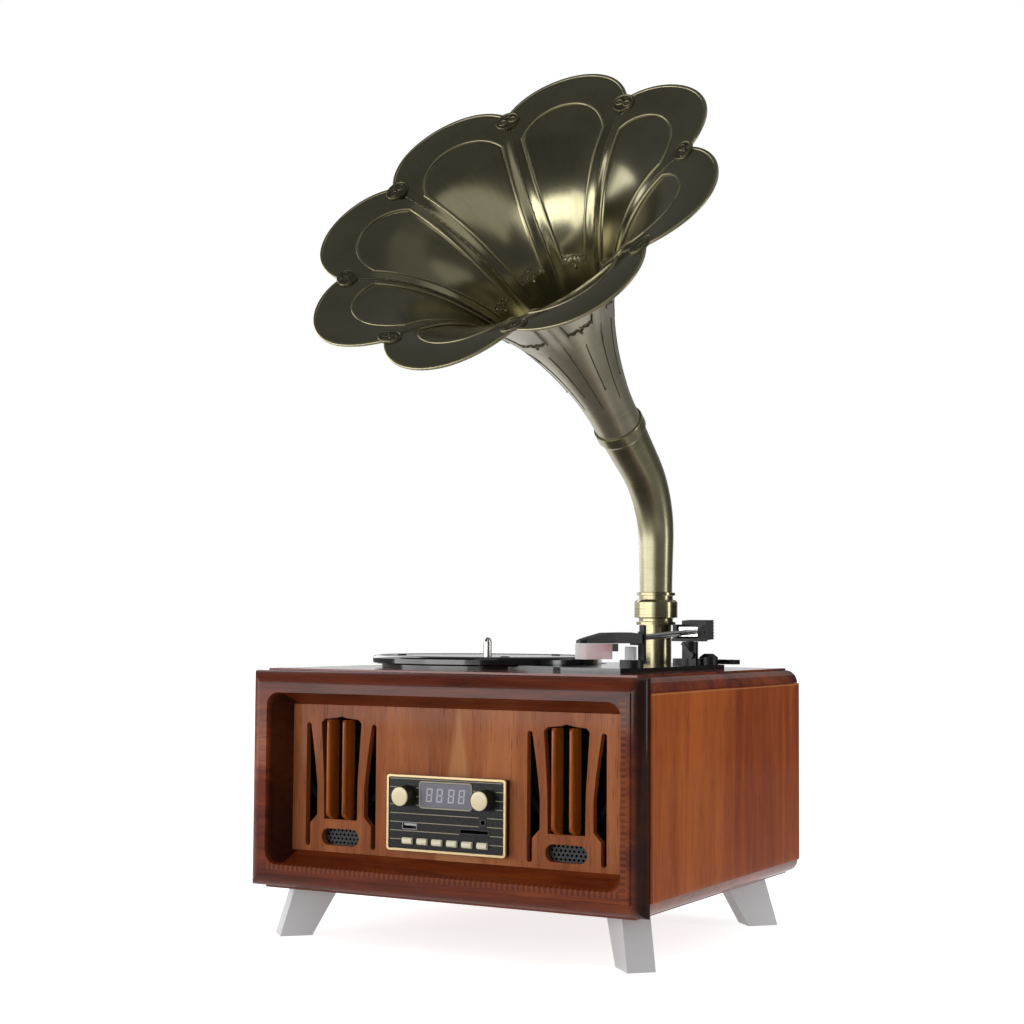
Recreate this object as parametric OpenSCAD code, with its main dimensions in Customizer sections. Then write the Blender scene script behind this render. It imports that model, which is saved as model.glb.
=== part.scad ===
// Electric gramophone: a wooden box with a front radio and two fretwork speaker
// grilles, a belt-driven turntable and tonearm on top, and a petalled brass horn
// on a tapered elbow. Millimetres, +Z up.
// Built in the box's own axes: X across, Y back from the front face, Z from the floor.

/* [Cabinet] */
// Width of the box
cab_w = 360; // [330:1:400]
// Depth of the box from the front face to the back edge
cab_d = 322; // [305:1:360]
// Height of the box without its feet
cab_h = 179; // [170:1:210]
// Height of the feet below the box
leg_h = 40.5; // [25:0.5:80]
// Radius of the quarter-round edge moulding
edge_r = 11; // [6:0.5:11.5]
// Small step on each side of the quarter-round
edge_step = 1.6; // [0.8:0.1:2]
// Thickness of the side panels
side_t = 12; // [9:0.5:14]
// Thickness of the rear panel
rear_t = 6; // [4:0.5:9]
// How far the rear panel lies in from the back edge
rear_inset = 4; // [1:0.5:8]
// Working gap between boards that are glued or screwed together
joint_gap = 0.2; // [0.1:0.05:0.4]

/* [Front frame] */
// Width of the frame's face on each side of its opening
side_band = 20; // [18:0.5:30]
// Height of the frame's opening at the front face
open_h = 139; // [134:1:142]
// Height of the opening's lower edge above the box's underside
open_z = 20.5; // [18:0.5:22]
// Corner radius of the opening at the front face
open_r = 11; // [10.5:0.5:14]
// How far the opening narrows on each side towards the fascia
reveal = 10; // [4:0.5:10]
// Depth of the recess from the front face to the fascia
recess_d = 24.5; // [20:0.5:32]
// Wall of the collar behind the frame
collar_t = 4; // [3:0.5:5]
// Thickness of the fascia board
fascia_t = 6; // [4:0.5:8]

/* [Grilles] */
// Distance of each grille's middle from the side of the frame's opening
grille_in = 57; // [54:0.5:60]
// Height of the grille's window foot above the box's underside
win_z = 57; // [55:0.5:60]
// Height of the grille's window
win_h = 81; // [70:0.5:84]
// Width of the window at its foot
win_w0 = 32; // [28:0.5:33]
// Width of the window at its top
win_w1 = 39; // [34:0.5:40]
// Width of each side slot at its ends
slot_w = 4.6; // [3:0.1:5]
// Width of each side slot where it is widest
slot_belly = 11.2; // [8:0.1:11.5]
// Distance of the slots' outer edges from the grille's middle
slot_out = 34; // [33:0.5:35]
// Height of the slots' lower ends above the box's underside
slot_z = 34.6; // [33:0.1:36]
// Height of the slots
slot_h = 100; // [96:0.5:103]
// Width of the small rounded sound window
port_w = 36; // [28:0.5:38]
// Height of the small rounded sound window
port_h = 13.6; // [10:0.1:14]
// Height of its middle above the box's underside
port_z = 42.7; // [42:0.1:44]
// Thickness of the two upright fins
fin_t = 3.8; // [2.5:0.1:5]
// Distance between the fins' middles
fin_pitch = 15.2; // [10:0.1:18]
// How far the fins stand out of the fascia
fin_out = 8; // [4:0.5:10]
// Hole diameter of the perforated sheet
mesh_hole = 2; // [1.2:0.1:2.6]
// Distance between the sheet's holes
mesh_pitch = 3.8; // [3.4:0.1:5]
// Radius of the speakers' flange
speaker_r = 38; // [36:0.5:38]
// Depth of the speakers
speaker_d = 32; // [28:0.5:44]
// Radius of the speakers' magnet
magnet_r = 26; // [20:0.5:30]

/* [Radio] */
// Width of the radio's front
radio_w = 108; // [106:0.5:112]
// Height of the radio's front
radio_h = 59.5; // [58:0.5:61]
// Height of its middle above the box's underside
radio_z = 66.8; // [64:0.1:70]
// How far it stands out of the fascia
radio_out = 7; // [5:0.5:9]
// Width of the frame around it
bezel_w = 1.7; // [1:0.1:2.5]
// Depth of the frame around it
bezel_t = 2; // [1.5:0.1:3]
// Depth of the radio's case behind the fascia
case_d = 44; // [36:1:60]
// Distance of each knob from the radio's middle
knob_x = 36; // [34:0.5:38]
// Height of the knobs above the radio's middle
knob_z = 13.6; // [12:0.1:14.5]
// Radius of the knobs
knob_r = 8; // [6:0.1:8.5]
// Length of the knobs
knob_len = 9.8; // [7:0.1:13]
// Radius of the knobs' shafts
knob_shaft_r = 3; // [2:0.1:3.5]
// Width of the display window
disp_w = 45.4; // [40:0.1:46]
// Height of the display window
disp_h = 18.6; // [15:0.1:19]
// Width of a button
button_w = 8.6; // [6:0.1:10]
// Height of a button
button_h = 5; // [4:0.1:6]
// Distance between the buttons' middles
button_pitch = 13.6; // [12:0.1:14]
// Depth of the buttons' row below the radio's middle
button_drop = 21.7; // [20:0.1:22.5]
// How far a button stands out of the face
button_out = 2.9; // [2.2:0.1:4]
// Travel of a button
button_travel = 1.5; // [1:0.1:2]

/* [Turntable] */
// Radius of the platter
platter_r = 100; // [90:1:104]
// Height of the platter's rim
platter_h = 6.9; // [6.5:0.1:8]
// Platter's middle to the right of the box's middle
platter_x = -54; // [-60:1:-48]
// Platter's middle behind the box's front face
platter_y = 178; // [170:1:184]
// Radius of the spindle's pin above the platter
spindle_r = 3.6; // [3:0.05:3.6]
// Height of the spindle above the platter
spindle_h = 16; // [12:0.5:22]
// Thickness of the turntable plate round the arm
plate_t = 3.5; // [3:0.1:5]
// Thickness of the turntable plate under the platter
plate_low = 2.2; // [1.6:0.1:2.4]
// Radius of the drive ring below the platter
ring_r = 52; // [45:1:56]
// Radius of the motor's pulley
pulley_r = 5.5; // [4:0.1:6]
// Distance from the spindle to the motor's shaft
motor_dist = 68; // [66:1:72]
// Radius of the motor
motor_r = 17; // [12:0.5:20]
// Length of the motor
motor_h = 27; // [20:0.5:40]
// Thickness of the belt
belt_t = 1; // [0.8:0.1:1.4]

/* [Tonearm] */
// Arm pivot to the right of the box's middle
pivot_x = 107; // [104:0.5:110]
// Arm pivot behind the box's front face
pivot_y = 250; // [246:0.5:254]
// Height of the arm's axle above the box's top
pivot_z = 31.5; // [31:0.1:36]
// Length of the arm from its axle to the head
arm_len = 158; // [150:1:162]
// Radius of the arm's tube
arm_r = 2.4; // [2:0.1:3]
// How far the parked arm points outward
arm_out = 6.1; // [4:0.1:7]
// How far the arm slopes down to the head
arm_slope = 1.9; // [1:0.1:2.2]
// How far the head is turned in from straight ahead
head_in = 22.5; // [16:0.5:26]
// Length of the head
head_len = 54; // [50:0.5:58]
// Width of the head at its collar
head_w = 15; // [13:0.5:17]
// Width of the weight behind the pivot
weight_w = 22; // [16:0.5:24]
// Length of the weight behind the pivot
weight_l = 24; // [18:0.5:26]
// Height of the weight behind the pivot
weight_h = 17; // [12:0.5:18]

/* [Horn] */
// Horn's turning axis to the right of the box's middle
horn_x = 64.6; // [60:0.1:70]
// Horn's turning axis behind the box's front face
horn_y = 272; // [268:0.5:278]
// How far the horn is turned to the left of straight ahead
horn_turn = 2.5; // [-20:0.5:20]
// Outer radius of the base tube
tube_r = 13.8; // [12:0.1:15]
// Wall of the base tube
tube_wall = 2; // [1.5:0.1:2.6]
// Height of the base tube and its collar above the box's top
tube_h = 63.5; // [62:0.5:80]
// Radius of the wide band of the collar
band_r = 19.2; // [17:0.1:21]
// Height of the elbow's straight foot
bend_rise = 43.5; // [34:0.5:56]
// Radius of the elbow's bend
bend_r = 86; // [76:1:100]
// Angle from upright to the horn's axis
bend_a = 50.8; // [42:0.1:56]
// Length of the elbow's straight run from its bend to the horn's throat
bend_run = 54; // [44:0.5:70]
// Sheet thickness of the elbow and the horn
sheet_t = 1.5; // [1:0.1:2]
// Inner radius of the horn's throat
throat_r = 18.8; // [17:0.1:21]
// Length of the horn from its throat to the plane of its petal tips
bell_len = 235; // [210:0.5:250]
// Radius to the tips of the petals
tip_r = 177.8; // [170:0.1:184]
// Radius to the notches between the petals
seam_r = 149; // [143:0.5:152]
// Number of petals
petals = 8; // [8:1:8]
// Length of the horn's neck below the petals
neck_len = 104; // [80:1:130]
// Length of the neck inside the elbow
neck_in = 10; // [6:0.5:11]
// Gap on each side of a seam between petals
seam_gap = 0.15; // [0.1:0.05:0.3]
// Radius of the round ornaments at the notches
medal_r = 8.5; // [6:0.1:10]

/* [Feet] */
// Width of a foot across its diagonal
leg_w = 22.6; // [16:0.2:28]
// Length of a foot along its diagonal at the floor
leg_l0 = 26.6; // [20:0.2:34]
// Length of a foot along its diagonal at the top
leg_l1 = 37.8; // [28:0.2:44]
// How far the outer end of a foot leans outward
leg_lean = 12.2; // [4:0.2:16]
// Distance of a foot's outer end from the side of the box
leg_in_x = 15; // [11:0.5:24]
// Distance of a foot's outer end from the front or back of the box
leg_in_y = 27; // [22:0.5:36]

/* [Hidden] */
$fn = 48;
fit_gap = 0.3;
run_gap = 0.05;
// cabinet
cab_x = cab_w / 2;
cab_top = leg_h + cab_h;
mould = edge_r + edge_step;
panel_t = mould;
groove = 1;
inner_x = cab_x - side_t - joint_gap;
inner_z0 = leg_h + panel_t + joint_gap;
inner_z1 = cab_top - panel_t - joint_gap;
behind = mould + joint_gap;
rear_y = cab_d - rear_inset - rear_t;
fascia_y = recess_d + joint_gap;
fascia_back = fascia_y + fascia_t;
open_z0 = leg_h + open_z;
open_z1 = open_z0 + open_h;
open_w = cab_w - 2 * side_band;
open_x = open_w / 2;
grille_x = open_x - grille_in;
// radio
rad_z = leg_h + radio_z;
rad_front = fascia_y - radio_out;
face_y = rad_front + 0.7;
case_w = radio_w - 9;
case_h = radio_h - 5;
cut_gap = fit_gap;
disp_z = rad_z + 14.9;
button_z = rad_z - button_drop;
buttons = 6;
button_len = 11;
button_lip = 0.8;
pocket_d = face_y - button_out + button_len + button_travel + 2 - fascia_y;
usb_x = -32.8;
usb_z = rad_z - 9.9;
usb_w = 13.4;
usb_h = 5.8;
card_x = 26.2;
card_z = rad_z - 11.6;
card_w = 26.4;
card_h = 4.4;
jack_x = 33.9;
jack_z = rad_z - 4;
jack_bore = 1.75;
jack_len = 14;
knob_y0 = face_y - 1 - knob_len;
// speaker
magnet_t = 10;
yoke_r = 23;
cap_r = 9;
cap_d = 9;
// turntable plate: its edges, measured from what stands on it
plate_in = 54;
plate_out = 27;
plate_front = 66;
plate_tail = 20;
plate_nose = 58;
plate_cut = 6;
plate_cut_x = 24;
plate_cut_y = 30;
plate_wing = 44;
plate_waist_x = 74;
plate_waist_y = 18;
plate_corner_x = 20;
plate_corner_y = 22;
plate_x0 = platter_x + plate_in;
plate_x1 = pivot_x + plate_out;
plate_y1 = horn_y + plate_tail;
// turntable
plate_z0 = cab_top;
low_z = plate_z0 + plate_low;
plate_z = plate_z0 + plate_t;
plat_z0 = low_z + 0.5;
plat_z1 = plat_z0 + platter_h;
web_t = 2.2;
web_z = plat_z1 - web_t;
rim_t = 5;
hub_r = 13;
flange_r = 9;
flange_z0 = low_z + fit_gap;
flange_t = 1.4;
bush_r = 8;
shaft_r = spindle_r + 0.6;
bush_z = cab_top - panel_t - 9;
motor_ang = 225;
motor_x = platter_x + motor_dist * cos(motor_ang);
motor_y = platter_y + motor_dist * sin(motor_ang);
motor_z1 = cab_top - panel_t - fit_gap;
belt_z0 = flange_z0 + 0.5;
belt_h = 2.6;
pad_r = 4;
pad_h = 0.9;
pad_pos = 80.7;
// arm
axle_z = cab_top + pivot_z;
axle_r = 1.5;
yoke_w = 26;
yoke_z0 = axle_z - 8;
base_z1 = yoke_z0 - fit_gap;
jx = pivot_x + arm_len * cos(arm_slope) * sin(arm_out);
jy = pivot_y - arm_len * cos(arm_slope) * cos(arm_out);
jz = axle_z - arm_len * sin(arm_slope);
rest_at = arm_len - 9;
rest_x = pivot_x + rest_at * sin(arm_out);
rest_y = pivot_y - rest_at * cos(arm_out);
rest_z = axle_z - rest_at * sin(arm_slope) - arm_r;
rest_r = 9.5;
// horn
elbow_z = cab_top + tube_h;
bend_z0 = elbow_z + 3;
arc_len = bend_r * bend_a * PI / 180;
path_len = bend_rise + arc_len + bend_run;
end_h = bend_r * (1 - cos(bend_a)) + bend_run * sin(bend_a);
end_z = bend_z0 + bend_rise + bend_r * sin(bend_a) + bend_run * cos(bend_a);
tube_in = tube_r - tube_wall;
spigot_r = tube_in - run_gap;
spigot_len = 30;
socket_r = throat_r + sheet_t + 0.5;
elbow_r0 = tube_r + 0.6;
elbow_r1 = socket_r - 0.6;
flare_p = 1.8;
flare_q = 0.44;
flare_r = tip_r + 3;
seam_a = 180 / petals;
seam_in = seam_r * cos(seam_a);
petal_c = (tip_r * tip_r - seam_r * seam_r) / (2 * (tip_r - seam_in));
petal_r = tip_r - petal_c;

// Axial place on the flare of a point at a given share of the flare's growth.
function flare_w(s) = bell_len * pow(1 - pow(1 - s, 1 / flare_q), 1 / flare_p);
// Point of the inner flare, as radius and height along the horn's axis.
function flare(s) = [throat_r + (flare_r - throat_r) * s, flare_w(s)];
// Share of the flare's growth at a given radius.
function flare_s(r) = (r - throat_r) / (flare_r - throat_r);
// Unit normal of the flare, pointing to the outside of the horn.
function flare_n(s) =
  let (a = flare(max(0, s - 0.002)), b = flare(min(1, s + 0.002)), d = b - a, l = norm(d))
  [d[1] / l, -d[0] / l];
// Section of the sheet between two shares of the flare's growth.
function sheet(shares, t0, t1) = concat(
  [for (s = shares) flare(s) + t0 * flare_n(s)],
  [for (i = [len(shares) - 1:-1:0]) flare(shares[i]) + t1 * flare_n(shares[i])]);
// Share of the flare's growth at which the neck ends.
neck_t = neck_len / bell_len;
neck_s = 1 - pow(1 - pow(neck_t, flare_p), flare_q);
neck_shares = [for (k = [0:8]) neck_s * pow(k / 8, 2)];
petal_s0 = neck_s + fit_gap / (flare_r - throat_r);
petal_shares = [for (k = [0:13]) petal_s0 + (1 - petal_s0) * pow(k / 13, 1.35)];
// Furthest points of the petals, in the box's axes, for the part's origin.
function horn_pt(p) =
  let (y = p[1] * cos(bend_a) - p[2] * sin(bend_a), z = p[1] * sin(bend_a) + p[2] * cos(bend_a))
  let (yy = y - end_h)
  [horn_x + p[0] * cos(horn_turn) + yy * sin(horn_turn),
   horn_y - p[0] * sin(horn_turn) + yy * cos(horn_turn), z + end_z];
function outline_r(a) = petal_c * cos(a) + sqrt(petal_r * petal_r - pow(petal_c * sin(a), 2));
tips = [for (i = [0:petals - 1]) for (a = [-18:2:18])
  let (r = outline_r(a), b = a + i * 360 / petals, s = flare_s(r), n = flare_n(s))
  for (t = [0, sheet_t])
    horn_pt([(r + t * n[0]) * cos(b), (r + t * n[0]) * sin(b), flare_w(s) + t * n[1]])];
mid_x = (max([for (p = tips) p[0]]) - cab_x) / 2;
mid_y = (min([for (p = tips) p[1]]) + cab_d) / 2;

// Turns a drawing in X and Z into a solid that runs back along Y.
module along_y(y0, len) {
  translate([0, y0 + len, 0]) rotate([90, 0, 0]) linear_extrude(len) children();
}

// Turns a drawing in Y and Z into a solid that runs across along X.
module along_x(x0, len) {
  translate([x0, 0, 0]) rotate([90, 0, 90]) linear_extrude(len) children();
}

// Rectangle with rounded corners, made of bars and discs.
module round_rect(w, h, r) {
  square([w - 2 * r, h], center = true);
  square([w, h - 2 * r], center = true);
  for (x = [-1, 1], y = [-1, 1])
    translate([x * (w / 2 - r), y * (h / 2 - r)]) circle(r);
}

// One corner of the moulding: a step, a quarter round and a step, cut from a square.
module mould_cut() {
  difference() {
    translate([-1, -1]) square([mould + 1, mould + 1]);
    translate([mould, mould]) circle(edge_r);
    translate([edge_step, mould]) square([mould, 0.001 + 1]);
  }
}

// Outline of a board whose two upper corners carry the moulding.
module mould_rect(w, h) {
  difference() {
    translate([-w / 2, 0]) square([w, h]);
    translate([-w / 2, h]) scale([1, -1]) mould_cut();
    translate([w / 2, h]) scale([-1, -1]) mould_cut();
  }
}

// Outline of the front frame seen from above or from the side: both front corners moulded.
module mould_front(w, off) {
  difference() {
    translate([off, 0]) square([w, mould]);
    translate([off, 0]) mould_cut();
    translate([off + w, 0]) scale([-1, 1]) mould_cut();
  }
}

module top_panel() {
  color("sienna") difference() {
    along_y(behind, cab_d - behind) translate([0, cab_top - panel_t]) mould_rect(cab_w, panel_t);
    translate([0, 0, cab_top - panel_t - 1]) {
      translate([platter_x, platter_y]) cylinder(r = bush_r + fit_gap, h = panel_t + 2);
      translate([motor_x, motor_y]) cylinder(r = pulley_r + 1, h = panel_t + 2);
      translate([horn_x, horn_y]) cylinder(r = tube_r + fit_gap, h = panel_t + 2);
    }
  }
}

module bottom_panel() {
  color("sienna")
    along_y(behind, cab_d - behind)
      translate([0, leg_h + panel_t]) scale([1, -1]) mould_rect(cab_w, panel_t);
}

// Side panel with a bevel at its front edge, which forms the groove beside the frame.
module side_panel(s) {
  x0 = cab_x - side_t;
  color("sienna") scale([s, 1, 1])
    translate([0, 0, inner_z0])
      linear_extrude(inner_z1 - inner_z0)
        polygon([[x0, behind], [cab_x - groove, behind], [cab_x, behind + groove],
          [cab_x, cab_d], [x0, cab_d]]);
}

module side_panel_left() { side_panel(-1); }
module side_panel_right() { side_panel(1); }

inlet_x = -110;
inlet_up = 60;
inlet_z = leg_h + inlet_up;
inlet_w = 22;
inlet_h = 13;

module rear_panel() {
  color("saddlebrown") difference() {
    translate([-inner_x, rear_y, inner_z0]) cube([2 * inner_x, rear_t, inner_z1 - inner_z0]);
    translate([inlet_x - inlet_w / 2, rear_y - 1, inlet_z - inlet_h / 2])
      cube([inlet_w, rear_t + 2, inlet_h]);
  }
}

// Tapered opening of the frame: bars with sloping sides and a cone in each corner.
module frame_opening() {
  r0 = open_r;
  r1 = open_r - reveal;
  cx = open_x - open_r;
  z0 = open_z0 + open_r;
  z1 = open_z1 - open_r;
  slope = reveal / recess_d;
  e = 1;
  along_x(-cx, 2 * cx)
    polygon([[-e, z0 - r0 - e * slope], [recess_d + e, z0 - r1 + e * slope],
      [recess_d + e, z1 + r1 - e * slope], [-e, z1 + r0 + e * slope]]);
  translate([0, 0, z0]) linear_extrude(z1 - z0)
    polygon([[-cx - r0 - e * slope, -e], [cx + r0 + e * slope, -e],
      [cx + r1 - e * slope, recess_d + e], [-cx - r1 + e * slope, recess_d + e]]);
  for (x = [-cx, cx], z = [z0, z1])
    translate([x, -e, z]) rotate([-90, 0, 0])
      cylinder(r1 = r0 + e * slope, r2 = r1 - e * slope, h = recess_d + 2 * e);
}

module front_frame() {
  color("chocolate") difference() {
    union() {
      intersection() {
        translate([0, 0, leg_h]) linear_extrude(cab_h) mould_front(cab_w, -cab_x);
        along_x(-cab_x, cab_w) translate([0, leg_h]) rotate(90) scale([1, -1]) mould_front(cab_h, 0);
      }
      translate([-open_x - collar_t, mould - 1, open_z0 - collar_t])
        cube([open_w + 2 * collar_t, recess_d - mould + 1, open_h + 2 * collar_t]);
    }
    frame_opening();
  }
}

// Outline of one side slot: narrow above, bellied towards the window, then narrow again.
module slot_shape() {
  r = slot_w / 2;
  step_z = slot_z + 0.215 * slot_h;
  out = slot_out;
  translate([out - slot_w, slot_z + r]) square([slot_w, slot_h - 2 * r]);
  translate([out - r, slot_z + r]) circle(r);
  translate([out - r, slot_z + slot_h - r]) circle(r);
  polygon([[out - 1, step_z - 3], [out - slot_w, step_z - 3],
    [out - slot_belly, step_z + 4], [out - slot_belly, step_z + 0.28 * slot_h],
    [out - slot_belly + 2.6, step_z + 0.5 * slot_h], [out - slot_w, slot_z + slot_h - r],
    [out - 1, slot_z + slot_h - r]]);
}

// All the cut-outs of one grille.
module grille_cuts() {
  for (s = [-1, 1]) scale([s, 1]) slot_shape();
  polygon([[-win_w0 / 2, win_z], [win_w0 / 2, win_z], [win_w0 / 2 + 0.5, win_z + 0.4 * win_h],
    [win_w1 / 2, win_z + win_h - 3], [win_w1 / 2 - 3, win_z + win_h], [5, win_z + win_h + 1],
    [0, win_z + win_h + 2.5], [-5, win_z + win_h + 1], [-win_w1 / 2 + 3, win_z + win_h],
    [-win_w1 / 2, win_z + win_h - 3], [-win_w0 / 2 - 0.5, win_z + 0.4 * win_h]]);
  translate([0, port_z]) round_rect(port_w, port_h, port_h / 2 - 0.2);
}

module fascia() {
  z0 = open_z0 - collar_t;
  h = open_h + 2 * collar_t;
  color("peru") along_y(fascia_y, fascia_t) difference() {
    translate([-open_x - collar_t, z0]) square([open_w + 2 * collar_t, h]);
    translate([0, leg_h]) for (s = [-1, 1]) translate([s * grille_x, 0]) grille_cuts();
    translate([0, rad_z]) square([case_w + 2 * fit_gap, case_h + 2 * fit_gap], center = true);
  }
}

// One foot: a slab set on the box's diagonal, leaning out and narrowing downwards.
module leg(sx, sy) {
  ox = cab_x - leg_in_x;
  oy = cab_d / 2 - leg_in_y;
  color("gainsboro") translate([0, cab_d / 2, 0]) scale([sx, sy, 1])
    translate([ox, oy, 0]) rotate([0, 0, 45]) translate([0, leg_w / 2, 0]) rotate([90, 0, 0])
      linear_extrude(leg_w)
        polygon([[-leg_l0, 0], [0, 0], [-leg_lean, leg_h], [-leg_lean - leg_l1, leg_h]]);
}

module leg_front_left() { leg(-1, -1); }
module leg_front_right() { leg(1, -1); }
module leg_rear_left() { leg(-1, 1); }
module leg_rear_right() { leg(1, 1); }

// Two upright fins with round noses, standing in the window and out of the fascia.
module grille_fins(s) {
  z0 = leg_h + win_z + fit_gap;
  z1 = leg_h + win_z + win_h - fit_gap;
  y0 = fascia_y - fin_out;
  r = fin_t / 2;
  color("darkorange") translate([s * grille_x, 0, 0]) for (i = [-1, 1]) translate([i * fin_pitch / 2, 0, 0])
    intersection() {
      union() {
        translate([-r, y0 + r, z0]) cube([fin_t, fascia_back - y0 - r, z1 - z0]);
        translate([0, y0 + r, z0]) cylinder(r = r, h = z1 - z0);
      }
      along_x(-fin_t, 2 * fin_t)
        polygon([[y0 - 1, z0 + fin_out], [y0 + 0.3 * fin_out, z0 + 0.35 * fin_out],
          [fascia_y, z0], [fascia_back + 1, z0 - 0.01], [fascia_back + 1, z1 + 0.01],
          [y0 + 2, z1 + 0.01], [y0 - 1, z1 - 3]]);
    }
}

module grille_fins_left() { grille_fins(-1); }
module grille_fins_right() { grille_fins(1); }

// Perforated sheet behind the small sound window.
module grille_mesh(s) {
  rows = 3;
  cols = floor((port_w - mesh_hole) / mesh_pitch);
  row_step = mesh_pitch * 0.866;
  color("dimgray") along_y(fascia_back + fit_gap, 0.8)
    translate([s * grille_x, leg_h + port_z]) difference() {
      square([port_w + 6, port_h + 6], center = true);
      for (j = [0:rows]) for (i = [0:cols - (j % 2)])
        translate([(i - (cols - (j % 2)) / 2) * mesh_pitch, (j - rows / 2) * row_step])
          circle(mesh_hole / 2, $fn = 16);
    }
}

module grille_mesh_left() { grille_mesh(-1); }
module grille_mesh_right() { grille_mesh(1); }

// Speaker: flange, cone, basket and magnet, as one turned body.
module speaker(s) {
  r = speaker_r;
  magnet_y = speaker_d - magnet_t;
  color("dimgray") translate([s * grille_x, fascia_back + fit_gap, leg_h + win_z + win_h / 2])
    rotate([-90, 0, 0]) difference() {
      rotate_extrude() polygon([[0, cap_d], [cap_r, cap_d], [cap_r + 3, cap_d + 6], [r - 8, 5], [r - 5, 3],
        [r - 4, 0], [r, 0], [r, 3], [r - 3, 4], [yoke_r, magnet_y - 3], [yoke_r, magnet_y],
        [magnet_r, magnet_y], [magnet_r, speaker_d], [0, speaker_d]]);
      for (a = [45:90:315]) rotate([0, 0, a]) translate([r - 2, 0, -1]) cylinder(r = 1.2, h = 6);
    }
}

module speaker_left() { speaker(-1); }
module speaker_right() { speaker(1); }

// Places a drawing of the radio's front, with its middle at the origin.
module on_radio(y0, len) {
  along_y(y0, len) translate([0, rad_z]) children();
}

module radio_bezel() {
  color("gold") on_radio(rad_front, bezel_t) difference() {
    round_rect(radio_w, radio_h, 2.4);
    round_rect(radio_w - 2 * bezel_w, radio_h - 2 * bezel_w, 1.2);
  }
}

// Cut-outs of the black face for display, sockets, buttons and shafts.
module face_cuts() {
  translate([0, disp_z - rad_z]) square([disp_w + 2 * cut_gap, disp_h + 2 * cut_gap], center = true);
  translate([usb_x, usb_z - rad_z]) square([usb_w + 2 * cut_gap, usb_h + 2 * cut_gap], center = true);
  translate([card_x, card_z - rad_z]) square([card_w + 2 * cut_gap, card_h + 2 * cut_gap], center = true);
  translate([jack_x, jack_z - rad_z]) circle(3.2 + cut_gap);
  for (s = [-1, 1]) translate([s * knob_x, knob_z]) circle(knob_shaft_r + cut_gap);
  for (i = [0:buttons - 1]) translate([(i - (buttons - 1) / 2) * button_pitch, -button_drop])
    square([button_w + 2 * cut_gap, button_h + 2 * cut_gap], center = true);
}

module radio_face() {
  lip = bezel_w + joint_gap;
  y1 = rad_front + bezel_t + joint_gap;
  color("black") difference() {
    union() {
      on_radio(face_y, y1 - face_y + 0.01)
        square([radio_w - 2 * lip - 1, radio_h - 2 * lip - 1], center = true);
      on_radio(y1, fascia_y - fit_gap - y1) round_rect(radio_w, radio_h, 2.4);
    }
    on_radio(face_y - 1, radio_out + 2) face_cuts();
  }
}

module radio_case() {
  color("dimgray") difference() {
    on_radio(fascia_y, case_d) square([case_w, case_h], center = true);
    for (s = [-1, 1]) translate([s * knob_x, fascia_y - 1, rad_z + knob_z]) rotate([-90, 0, 0])
      cylinder(r = knob_shaft_r + run_gap, h = 19);
    on_radio(fascia_y - 1, pocket_d) translate([0, -button_drop])
      square([buttons * button_pitch + 2, button_h + 2 * button_lip + 2 * cut_gap], center = true);
    on_radio(fascia_y - 1, 13) translate([usb_x, usb_z - rad_z])
      square([usb_w + 2 * cut_gap, usb_h + 2 * cut_gap], center = true);
    on_radio(fascia_y - 1, 17) translate([card_x, card_z - rad_z])
      square([card_w + 2 * cut_gap, card_h + 2 * cut_gap], center = true);
    on_radio(fascia_y - 1, 12) translate([jack_x, jack_z - rad_z]) circle(3.2 + cut_gap);
  }
}

module display_window() {
  color("lightsteelblue", 0.6) on_radio(face_y - 0.5, fascia_y - face_y)
    translate([0, disp_z - rad_z]) round_rect(disp_w, disp_h, 1.5);
}

// Metal shell of the memory-stick socket with its tongue.
module usb_socket() {
  w = usb_w;
  h = usb_h;
  t = 0.5;
  color("silver") translate([usb_x, face_y - 0.2, usb_z]) difference() {
    translate([-w / 2, 0, -h / 2]) cube([w, 15, h]);
    difference() {
      translate([-w / 2 + t, -1, -h / 2 + t]) cube([w - 2 * t, 14, h - 2 * t]);
      translate([-w / 2 + 1.2, 1, 0]) cube([w - 2.4, 14, 1.7]);
    }
  }
}

module card_slot() {
  w = card_w;
  h = card_h;
  color("silver") translate([card_x, face_y - 0.2, card_z]) difference() {
    translate([-w / 2, 0, -h / 2]) cube([w, 20, h]);
    translate([-w / 2 + 0.9, -1, -h / 2 + 0.9]) cube([w - 1.8, 18, h - 1.8]);
  }
}

module aux_jack() {
  color("black") translate([jack_x, face_y - 0.4, jack_z]) rotate([-90, 0, 0]) difference() {
    cylinder(r = 3.2, h = jack_len + 1);
    translate([0, 0, -1]) cylinder(r = jack_bore, h = jack_len + 1);
  }
}

// Knob: a slightly tapered body on its shaft, with a seat for the cap.
module knob(s) {
  color("darkgoldenrod") translate([s * knob_x, knob_y0, rad_z + knob_z]) rotate([-90, 0, 0])
    rotate_extrude() polygon([[0, 1.4], [knob_r - 0.4, 1.4], [knob_r - 0.4, 0.3],
      [knob_r - 0.2, 0.1], [knob_r, 0.5], [knob_r + 0.3, knob_len], [knob_shaft_r, knob_len],
      [knob_shaft_r, knob_len + radio_out + 14], [0, knob_len + radio_out + 14]]);
}

// Domed cap pressed into the front of a knob.
module knob_cap(s) {
  r = knob_r - 0.6;
  color("khaki") translate([s * knob_x, knob_y0, rad_z + knob_z]) rotate([-90, 0, 0])
    rotate_extrude() polygon([[0, -0.5], [r * 0.6, -0.4], [r - 0.6, -0.1], [r, 0.3], [r, 1.2], [0, 1.2]]);
}

module knob_volume() { knob(-1); }
module knob_tuning() { knob(1); }
module knob_cap_volume() { knob_cap(-1); }
module knob_cap_tuning() { knob_cap(1); }

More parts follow.
